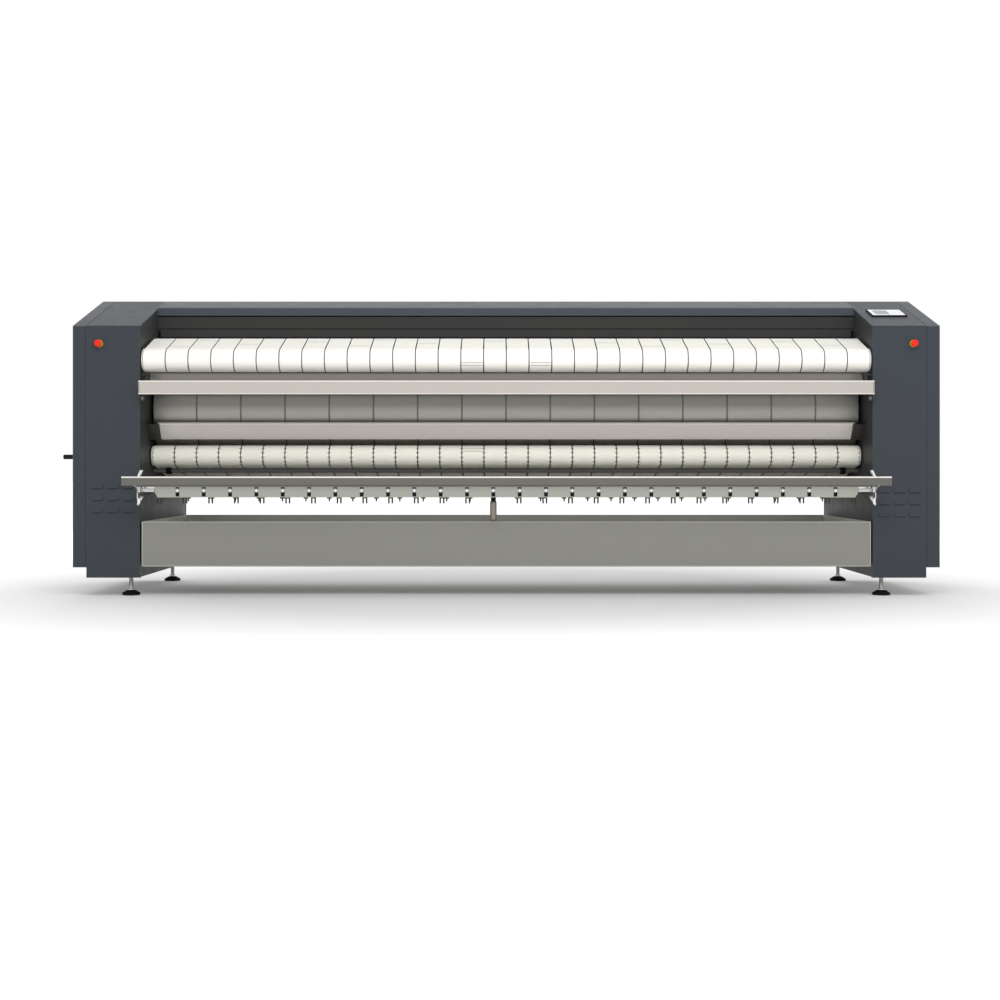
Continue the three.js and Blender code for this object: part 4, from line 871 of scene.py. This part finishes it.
# The guard's ends take the highlight steel whole: a painted highlight.
piece("hand_guard_ends", ends, "guard", painted_highlight_steel, ["hand_guard"])
arms = both_sides(lambda side: slab(guard_arm, side * GUARD_ARM[0], side * GUARD_ARM[1]))
piece("hand_guard_arms", arms, "guard", charcoal, ["hand_guard"])
pins = both_sides(lambda side: rod(6, side * GUARD_ARM[0], side * PIN_END, GUARD_PIVOT, 20))
piece("hand_guard_pins", pins, "guard", charcoal, ["hand_guard"])
tabs = both_sides(lambda side: block(side * TAB[0], side * TAB[1], -45, -42, 890, 921, edge=0.8))
piece("hand_guard_tabs", tabs, "guard", charcoal, ["hand_guard"])
tab_middle = (TAB[0] + TAB[1]) / 2
hexagon = [(0, -51), (4, -51), (5, -50), (5, -47), (0, -47)]
washer = [(0, -47), (6.8, -47), (7.2, -46.6), (7.2, -45), (0, -45)]
tab_bolts = both_sides(lambda side: joined([
    turned(hexagon, (side * tab_middle, 902), 6, "Y"),
    turned(washer, (side * tab_middle, 902), 20, "Y"),
]))
piece("hand_guard_bolts", tab_bolts, "guard", turned_steel)

# %% Exit cover and pan
COVER_HALF = 1625
cover_line = [(166, 800), (140, 792), (188, 719), (214, 727)]
cover_sheet = folded(cover_line, -COVER_HALF, COVER_HALF, 2, bend=4, painted_highlight_above=760)
piece("exit_cover_sheet", cover_sheet, "frame", (cover_steel, painted_highlight_steel), ["exit_cover"])
straps = both_sides(lambda side: folded(cover_line[1:3], side * (COVER_HALF - 10), side * SPAN, 4))
piece("exit_cover_straps", straps, "frame", turned_steel, ["exit_cover"])

pan_line = [(215, 1100), (92, 1026), (92, 985), (150, 985)]
pan = folded(pan_line, -SPAN, SPAN, 2, bend=3)
piece("feed_pan_sheet", pan, "frame", pan_steel, ["feed_pan"])

# %% Guide rail
RAIL_PIVOT = (32, 476)
RAIL_HALF = 1706
ARM = (1644, 1652)
PLATE_END = 1581.3
rail_arm = [
    (-211, 505), (-112, 455), (32, 462), (44, 476), (32, 490), (-100, 494), (-178, 547), (-211, 547),
]
rail_bar = folded(channel(-212, -178, 504, 548), -RAIL_HALF, RAIL_HALF, 3, bend=6.5, painted_highlight_above=530)
piece("guide_rail_bar", rail_bar, "exit_table", (rail_steel, painted_highlight_steel), ["guide_rail"])
arms = both_sides(lambda side: slab(rail_arm, side * ARM[0], side * ARM[1]))
pins = both_sides(lambda side: rod(7, side * ARM[0], side * PIN_END, RAIL_PIVOT, 20))
piece("guide_rail_arms", joined([arms, pins]), "exit_table", zinc, ["guide_rail"])

# %% Brackets, hooks and stubs at the rail's ends
BRACKET = [(-150, 425), (-142, 417), (-22, 460), (-22, 500), (-150, 500)]


def end_fitting(side):
    """Notched bracket under the rail, with the stub and the strap that hold the plate."""
    set_in = 0.5    # two faces in one plane would render black
    outer, inner = side * (ARM[1] - set_in), side * (ARM[1] - 13)
    return joined([
        slab(BRACKET, side * (ARM[1] - 4), outer, 0.8),
        block(inner, outer, -150, -146, 423, 450, 0.8),
        block(inner, outer, -150, -146, 476, 500, 0.8),
        rod(8, side * PLATE_END, side * (ARM[0] + 1), (-104, 484), 24, edge=3),
        block(side * PLATE_END, side * (ARM[0] + 1), -82, -22, 490, 502, 1),
    ])


def hook(side):
    """A strip welded behind the rail, leaning away from the housing as it rises."""
    base, wide, low, high, lean, depth = 1644, 10, 536, 576, 18, (-202, -180)
    corners = [(base - wide, low), (base, low), (base - lean, high), (base - lean - wide, high)]
    points = [(side * x, depth[0], z) for x, z in corners]
    return prism(points, (0, depth[1] - depth[0], 0), 1.5)


fittings = joined([both_sides(end_fitting), both_sides(hook)])
piece("guide_rail_fittings", fittings, "exit_table", bright_steel, ["guide_rail"])

# %% [markdown]
# ## Carrier plate
#
# The plate behind the rail is bolted on through twenty-six upright slots. Each slot shows
# as a dark spot over and under the bolt's pale head. The face is a grid whose slot cells
# are taken out before the sheet gets its thickness, so the slots are real holes. A black
# strip behind them is painted shade: it stands in for the shadow inside the slots.

# %% Carrier plate
SLOT_PITCH = 118.2
SLOTS = [-59 + SLOT_PITCH * n for n in range(-12, 14)]
CARRIER_HALF = 1581
FACE_Y = -112


def carrier_face():
    """The upright face of the plate with its slots."""
    slot_half, slot_low, slot_high = 8.5, 457, 499.5
    xs = [-CARRIER_HALF + 14]
    for x in SLOTS:
        xs += [x - slot_half, x + slot_half]
    xs.append(CARRIER_HALF - 14)
    zs = [453, slot_low, slot_high, 502]
    bm = bmesh.new()
    rows = [[bm.verts.new((x, FACE_Y, z)) for x in xs] for z in zs]
    for k in range(len(zs) - 1):
        for i in range(len(xs) - 1):
            if not (k == 1 and i % 2 == 1):
                bm.faces.new((rows[k][i], rows[k][i + 1], rows[k + 1][i + 1], rows[k + 1][i]))
    for edge, outer in ((0, -CARRIER_HALF), (-1, CARRIER_HALF)):
        low, high = [bm.verts.new((outer, FACE_Y, z)) for z in (479, 502)]
        bm.faces.new((low, *[row[edge] for row in rows], high))
    return bm


face = carrier_face()
bmesh.ops.recalc_face_normals(face, faces=face.faces)
if face.faces[:][0].normal.y > 0:
    bmesh.ops.reverse_faces(face, faces=face.faces)
bmesh.ops.solidify(face, geom=face.faces[:], thickness=-3)
top_sheet = folded([(8, 480), (8, 502), (-110, 502)], -CARRIER_HALF, CARRIER_HALF, 3, bend=4)
piece("carrier_plate_face", face, "exit_table", plate_steel, ["carrier_plate"])
piece("carrier_plate_top", top_sheet, "exit_table", plate_steel, ["carrier_plate"])

# painted shade: a black strip that stands in for the shadow inside the slots
slot_shade_strip = block(-CARRIER_HALF + 16, CARRIER_HALF - 16, -106.5, -104, 458, 499, edge=0.5)
piece("carrier_plate_slot_shade", slot_shade_strip, "exit_table", black_plastic)

bolt = joined([
    turned([(0, -122), (5.5, -122), (6.6, -120.6), (6.6, -116), (0, -116)], (0, 484), 6, "Y"),
    turned([(0, -116), (8.2, -116), (8.8, -115), (8.8, -112.4), (0, -112.4)], (0, 484), 20, "Y"),
])
bolts = repeated(bolt, [(x, 0, 0) for x in SLOTS])
piece("carrier_bolts", bolts, "exit_table", bright_steel)

# %% [markdown]
# ## Belt combs
#
# Two flat bars carry wire legs that reach down behind the plate, in pairs on the near bar
# and single on the far one. They stand in the gap under the machine, where the floor shows
# through.

# %% Belt combs
FORK_COUNT = 28
FORK_PITCH = 118.22
FORKS = [((i - (FORK_COUNT - 1) / 2) * FORK_PITCH, 0, 0) for i in range(FORK_COUNT)]


def comb(y, top, bottom, tip, legs):
    bar = block(-SPAN, SPAN, y, y + 6, bottom, top, edge=0.8)
    wires = [rod(3.8, tip, bottom + 2, (x, y + 3.5), 10, "Z") for x in legs]
    head = block(-12, 12, y - 1.5, y + 7.5, bottom - 7, bottom + 8, edge=1)
    return joined([bar, repeated(joined([*wires, head]), FORKS)])


near = comb(y=50, top=476, bottom=452, tip=422, legs=(-8, 8))
far = comb(y=720, top=462, bottom=438, tip=417, legs=(0,))
piece("near_comb", near, "frame", dark_steel, ["belt_comb_front"])
piece("far_comb", far, "frame", dark_steel, ["belt_comb_rear"])

# %% [markdown]
# ## Stripping fingers, lever and bin
#
# The fingers lift the linen off the cylinder. The lever in the middle hangs from a pin
# between two ears under the plate. The bin is a plain deep tray of steel. Its inside takes a
# lighter steel than its outside: painted light, standing in for the light that reaches into
# the bin. A face belongs to the inside when it looks towards the middle of the bin.

# %% Fingers, lever and bin
softened("finger_shaft", "fingers", turned_steel, width=0.4)

LEVER = (-59, -85)
grip = turned([
    (0, 345), (5, 345.4), (9, 347), (12.5, 350), (14.4, 354), (15, 359), (15, 427),
    (14.3, 432), (12, 435), (9, 436), (0, 436),
], LEVER, 32, "Z")
stem = turned([(6, 432), (6, 474), (0, 476)], LEVER, 20, "Z")
pin = rod(5, -75, -43, (LEVER[1], 470), 20)
fork = block(LEVER[0] - 9, LEVER[0] + 9, LEVER[1] - 8, LEVER[1] + 8, 437, 456, edge=2)
piece("lever_grip", grip, "lever", grip_steel, ["release_lever"])
piece("lever_stem", joined([stem, pin, fork]), "lever", rubber, ["release_lever"])
ear = [(-97, 458), (-73, 458), (-73, 500), (-97, 500)]
ears = joined([slab(ear, LEVER[0] + a, LEVER[0] + a + 4, 0.6) for a in (-14, 10)])
piece("lever_ears", ears, "exit_table", charcoal, ["carrier_plate"])

linen_bin = softened("linen_bin", "frame", (bin_steel, rail_steel, bin_inside_painted_light), fold=1.5)
bin_low, bin_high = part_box("linen_bin")
bin_middle = (bin_low + bin_high) / 2
# the inner faces take the lighter steel: painted light
inner_faces = [p for p in linen_bin.data.polygons if p.normal.dot(bin_middle - p.center) > 0]
INSIDE = 2               # bin_inside_painted_light is the third of the bin's finishes
for face in inner_faces:
    face.material_index = INSIDE
print("faces inside the bin:", len(inner_faces))
BIN_HALF = 1664
HEM_DEPTH = (-1.5, 3.5)
HEM_LOW, HEM_HIGH = 135, 341
# The hems take a lighter steel than the bin: a painted highlight along its edges.
hems = joined([
    block(-BIN_HALF, BIN_HALF, *HEM_DEPTH, HEM_HIGH - 5, HEM_HIGH + 0.5, edge=1.4),
    block(-BIN_HALF, BIN_HALF, *HEM_DEPTH, HEM_LOW, HEM_LOW + 6, edge=1.4),
    both_sides(lambda side: block(side * (BIN_HALF - 5), side * (BIN_HALF + 0.5), *HEM_DEPTH,
                                  HEM_LOW, HEM_HIGH, 1.4)),
])
piece("linen_bin_hems", hems, "frame", hem_highlight_steel)

# %% [markdown]
# ## Levelling feet
#
# A foot is a rubber pad on a threaded stem with a lock nut. The pad has a lip and a rounded
# shoulder, and the thread is cut as rings, fine enough to read as one.

# %% Feet
FOOT_SIDE = 1730
FOOT_DEPTH = {"front": 75, "rear": 975}
THREAD_PITCH = 2.2
THREAD_TOP = 112
NUT_TOP = 92.3           # just under the base rail


def foot(x, y):
    pad = turned([
        (0, 0), (39, 0), (41, 2), (41, 9), (39, 12), (31, 16), (24, 21), (20, 22), (0, 22),
    ], (x, y), 48, "Z")
    profile = [(0, 20), (13, 20), (15, 23), (15, 30), (12, 33), (10, 34)]
    z = 36.0
    while z < THREAD_TOP:
        profile += [(10, z), (9.1, z + THREAD_PITCH / 2)]
        z += THREAD_PITCH
    profile += [(10, 113), (8.8, 114.5), (0, 114.5)]
    stem = turned(profile, (x, y), 28, "Z")
    nut = turned([
        (10, NUT_TOP - 11), (15.5, NUT_TOP - 11), (17, NUT_TOP - 9.6),
        (17, NUT_TOP - 1.4), (15.5, NUT_TOP), (10, NUT_TOP),
    ], (x, y), 6, "Z")
    return pad, joined([stem, nut])


for word, side in SIDES:
    for end, y in FOOT_DEPTH.items():
        pad, stem = foot(side * FOOT_SIDE, y)
        node = f"foot_{end}_{word}"
        piece(f"{node}_pad", pad, "frame", rubber, [node])
        piece(f"{node}_stem", stem, "frame", bright_steel, [node])

# %% [markdown]
# ## Emergency stops and display
#
# Each front panel has a red mushroom button in a yellow collar. The display is a flat
# screen in a dark frame on the right-hand slope. It is switched on: the white page shows a
# picture of the pressed linen on the left and three round keys on the right.

# %% Emergency stops
STOP_SIDE, STOP_HEIGHT = 1858, 1153
for word, side in SIDES:
    centre = (side * STOP_SIDE, STOP_HEIGHT)
    button = turned([
        (0, -35), (7, -34.8), (12.4, -33.4), (16, -30), (17, -26.5),
        (16.6, -23), (13, -18.5), (6, -18), (6, 9), (0, 10),
    ], centre, 40, "Y")
    collar = turned([
        (6.4, -10), (15, -10), (16.8, -9.2), (17.6, -7), (17.6, -0.3), (10.5, -0.3),
        (10.5, 2.3), (17, 2.3), (17, 8.3), (6.4, 8.3), (6.4, -10),
    ], centre, 40, "Y")
    piece(f"stop_button_{word}_cap", button, f"stop_{word}", stop_red,
          [f"stop_button_{word}"])
    piece(f"stop_collar_{word}_ring", collar, "frame", stop_yellow,
          [f"stop_collar_{word}"])

# %% Display
SCREEN_X, SCREEN_Y = 1799, 256
TOP, SLOPE_FOOT, SLOPE_DEPTH = 1404, 1235, 540
SLOPE = (TOP - SLOPE_FOOT) / SLOPE_DEPTH
PAGE_TOP = 7.0
KEY_RADIUS, KEY_Y = 5, -10
on_slope = Matrix.Translation((SCREEN_X, SCREEN_Y, SLOPE_FOOT + SLOPE * SCREEN_Y))
on_slope = on_slope @ Matrix.Rotation(math.atan(SLOPE), 4, "X")


def tile(x0, x1, y0, y1, z0, z1, edge=0.3):
    """A thin plate on the slope, in the screen's own numbers."""
    bm = block(x0, x1, y0, y1, z0, z1, edge)
    bm.transform(on_slope)
    return bm


def key(x):
    bm = rod(KEY_RADIUS, PAGE_TOP, PAGE_TOP + 0.25, (x, KEY_Y), 24, "Z", edge=0.1)
    bm.transform(on_slope)
    return bm


softened("touch_panel", "frame", (black_plastic, black_plastic), width=0.6, fold=1.5)
page = tile(-76.2, 76.2, -63.2, 63.2, 6.3, PAGE_TOP)
piece("screen_page", page, "frame", screen_white)
PICTURE_BARS = (-42, -24, -6, 12, 30)
picture = joined([tile(-60, 8, y, y + 13, PAGE_TOP, PAGE_TOP + 0.2, 0.05) for y in PICTURE_BARS])
piece("screen_picture", picture, "frame", screen_blue)
piece("screen_keys", joined([key(x) for x in (24, 42, 60)]), "frame", screen_grey)
dress(grey_moulding, "control_box")

# %% [markdown]
# ## Drive and fan
#
# These run inside the housings. What shows of them from outside is the crank with its grip
# and the spigot of the fan.

# %% Drive and fan
dress(casting, "cylinder_pulley", "gear_motor", "fan_motor")
dress(rubber, "drive_belt")
dress(turned_steel, "crank_shaft")
softened("crank_arm", "crank", zinc, width=1.0)
CRANK_GRIP = (140, 637)
grip_end, grip_start = -(COVER_OUTER + 80), -(COVER_OUTER + 14.3)
crank_grip = turned([
    (5.3, grip_end), (8.5, grip_end), (10.6, grip_end + 1.5), (11, grip_end + 4),
    (10.8, (grip_end + grip_start) / 2), (11, grip_start - 4), (10.4, grip_start - 1),
    (8.5, grip_start), (5.3, grip_start), (5.3, grip_end),
], CRANK_GRIP, 36)
piece("crank_grip_moulded", crank_grip, "grip", black_plastic, ["crank_grip"])
dress(zinc, "fan_housing", "fan_impeller")

# %% [markdown]
# ## Floor, light and background
#
# The machine stands on a pale floor in an evenly lit white room. To the camera and in
# reflections the room is white, and the floor has a light of its own that grows with the
# distance from the machine, so that it still takes the shadow and no horizon shows.

# %% Floor and world
LIGHT_NEAR, LIGHT_FAR = 0.08, 0.7
BRIGHTENING = (1.4, 4.6)     # metres from the scene's origin
FLOOR_SIZE = 60
floor = bpy.data.objects.new("floor", bpy.data.meshes.new("floor"))
bpy.context.scene.collection.objects.link(floor)
floor_bm = bmesh.new()
bmesh.ops.create_grid(floor_bm, x_segments=1, y_segments=1, size=FLOOR_SIZE)
floor_bm.to_mesh(floor.data)
floor_bm.free()

coat = Finish("pale_floor", Roughness=1.0, Specular_IOR_Level=0.0, Emission_Strength=1.0)
coat.feed("Base Color", (0.72, 0.72, 0.72, 1))
kinds = [coat.node("ShaderNodeLightPath", out=f"Is {kind} Ray")
         for kind in ("Camera", "Glossy", "Transmission")]
seen = coat.maths("MAXIMUM", coat.maths("MAXIMUM", kinds[0], kinds[1]), kinds[2])
away = coat.node("ShaderNodeVectorMath", {"operation": "LENGTH"}, {0: coat.place}, out="Value")
own_light = (LIGHT_NEAR + coat.ramp(away, *BRIGHTENING) * (LIGHT_FAR - LIGHT_NEAR)) * seen
coat.feed("Emission Color", coat.blend(own_light, (0, 0, 0, 1), (1, 1, 1, 1)))
floor.data.materials.append(coat.material)

world = bpy.data.worlds.new("white_room")
bpy.context.scene.world = world
world.use_nodes = True
tree = world.node_tree
path, background = tree.nodes.new("ShaderNodeLightPath"), tree.nodes["Background"]
seen = path.outputs["Is Camera Ray"]
for kind in ("Is Glossy Ray", "Is Transmission Ray"):
    either = tree.nodes.new("ShaderNodeMath")
    either.operation = "MAXIMUM"
    tree.links.new(seen, either.inputs[0])
    tree.links.new(path.outputs[kind], either.inputs[1])
    seen = either.outputs[0]
strength = tree.nodes.new("ShaderNodeMapRange")
strength.inputs["To Min"].default_value = 0.6
strength.inputs["To Max"].default_value = 1.0
tree.links.new(seen, strength.inputs["Value"])
background.inputs["Color"].default_value = (1, 1, 1, 1)
tree.links.new(strength.outputs["Result"], background.inputs["Strength"])

# %% Lamps
def lamp(name, place, target, size, power):
    data = bpy.data.lights.new(name, "AREA")
    data.shape, data.size, data.size_y, data.energy = "RECTANGLE", size[0], size[1], power
    made = bpy.data.objects.new(name, data)
    bpy.context.scene.collection.objects.link(made)
    made.location = place
    made.rotation_euler = (Vector(target) - Vector(place)).to_track_quat("-Z", "Y").to_euler()
    made.visible_camera = made.visible_glossy = False
    print(f"lamp {name}: {power} W")


lamp("front_high", (0.6, -5.0, 4.2), (0, 0, 0.5), (5.0, 2.5), 165)
lamp("front_low", (0.6, -6.5, 0.9), (0, 0, 0.7), (4.0, 1.2), 95)
lamp("behind", (-0.6, 5.8, 3.9), (0, 0.5, 0.3), (7.0, 3.0), 270)
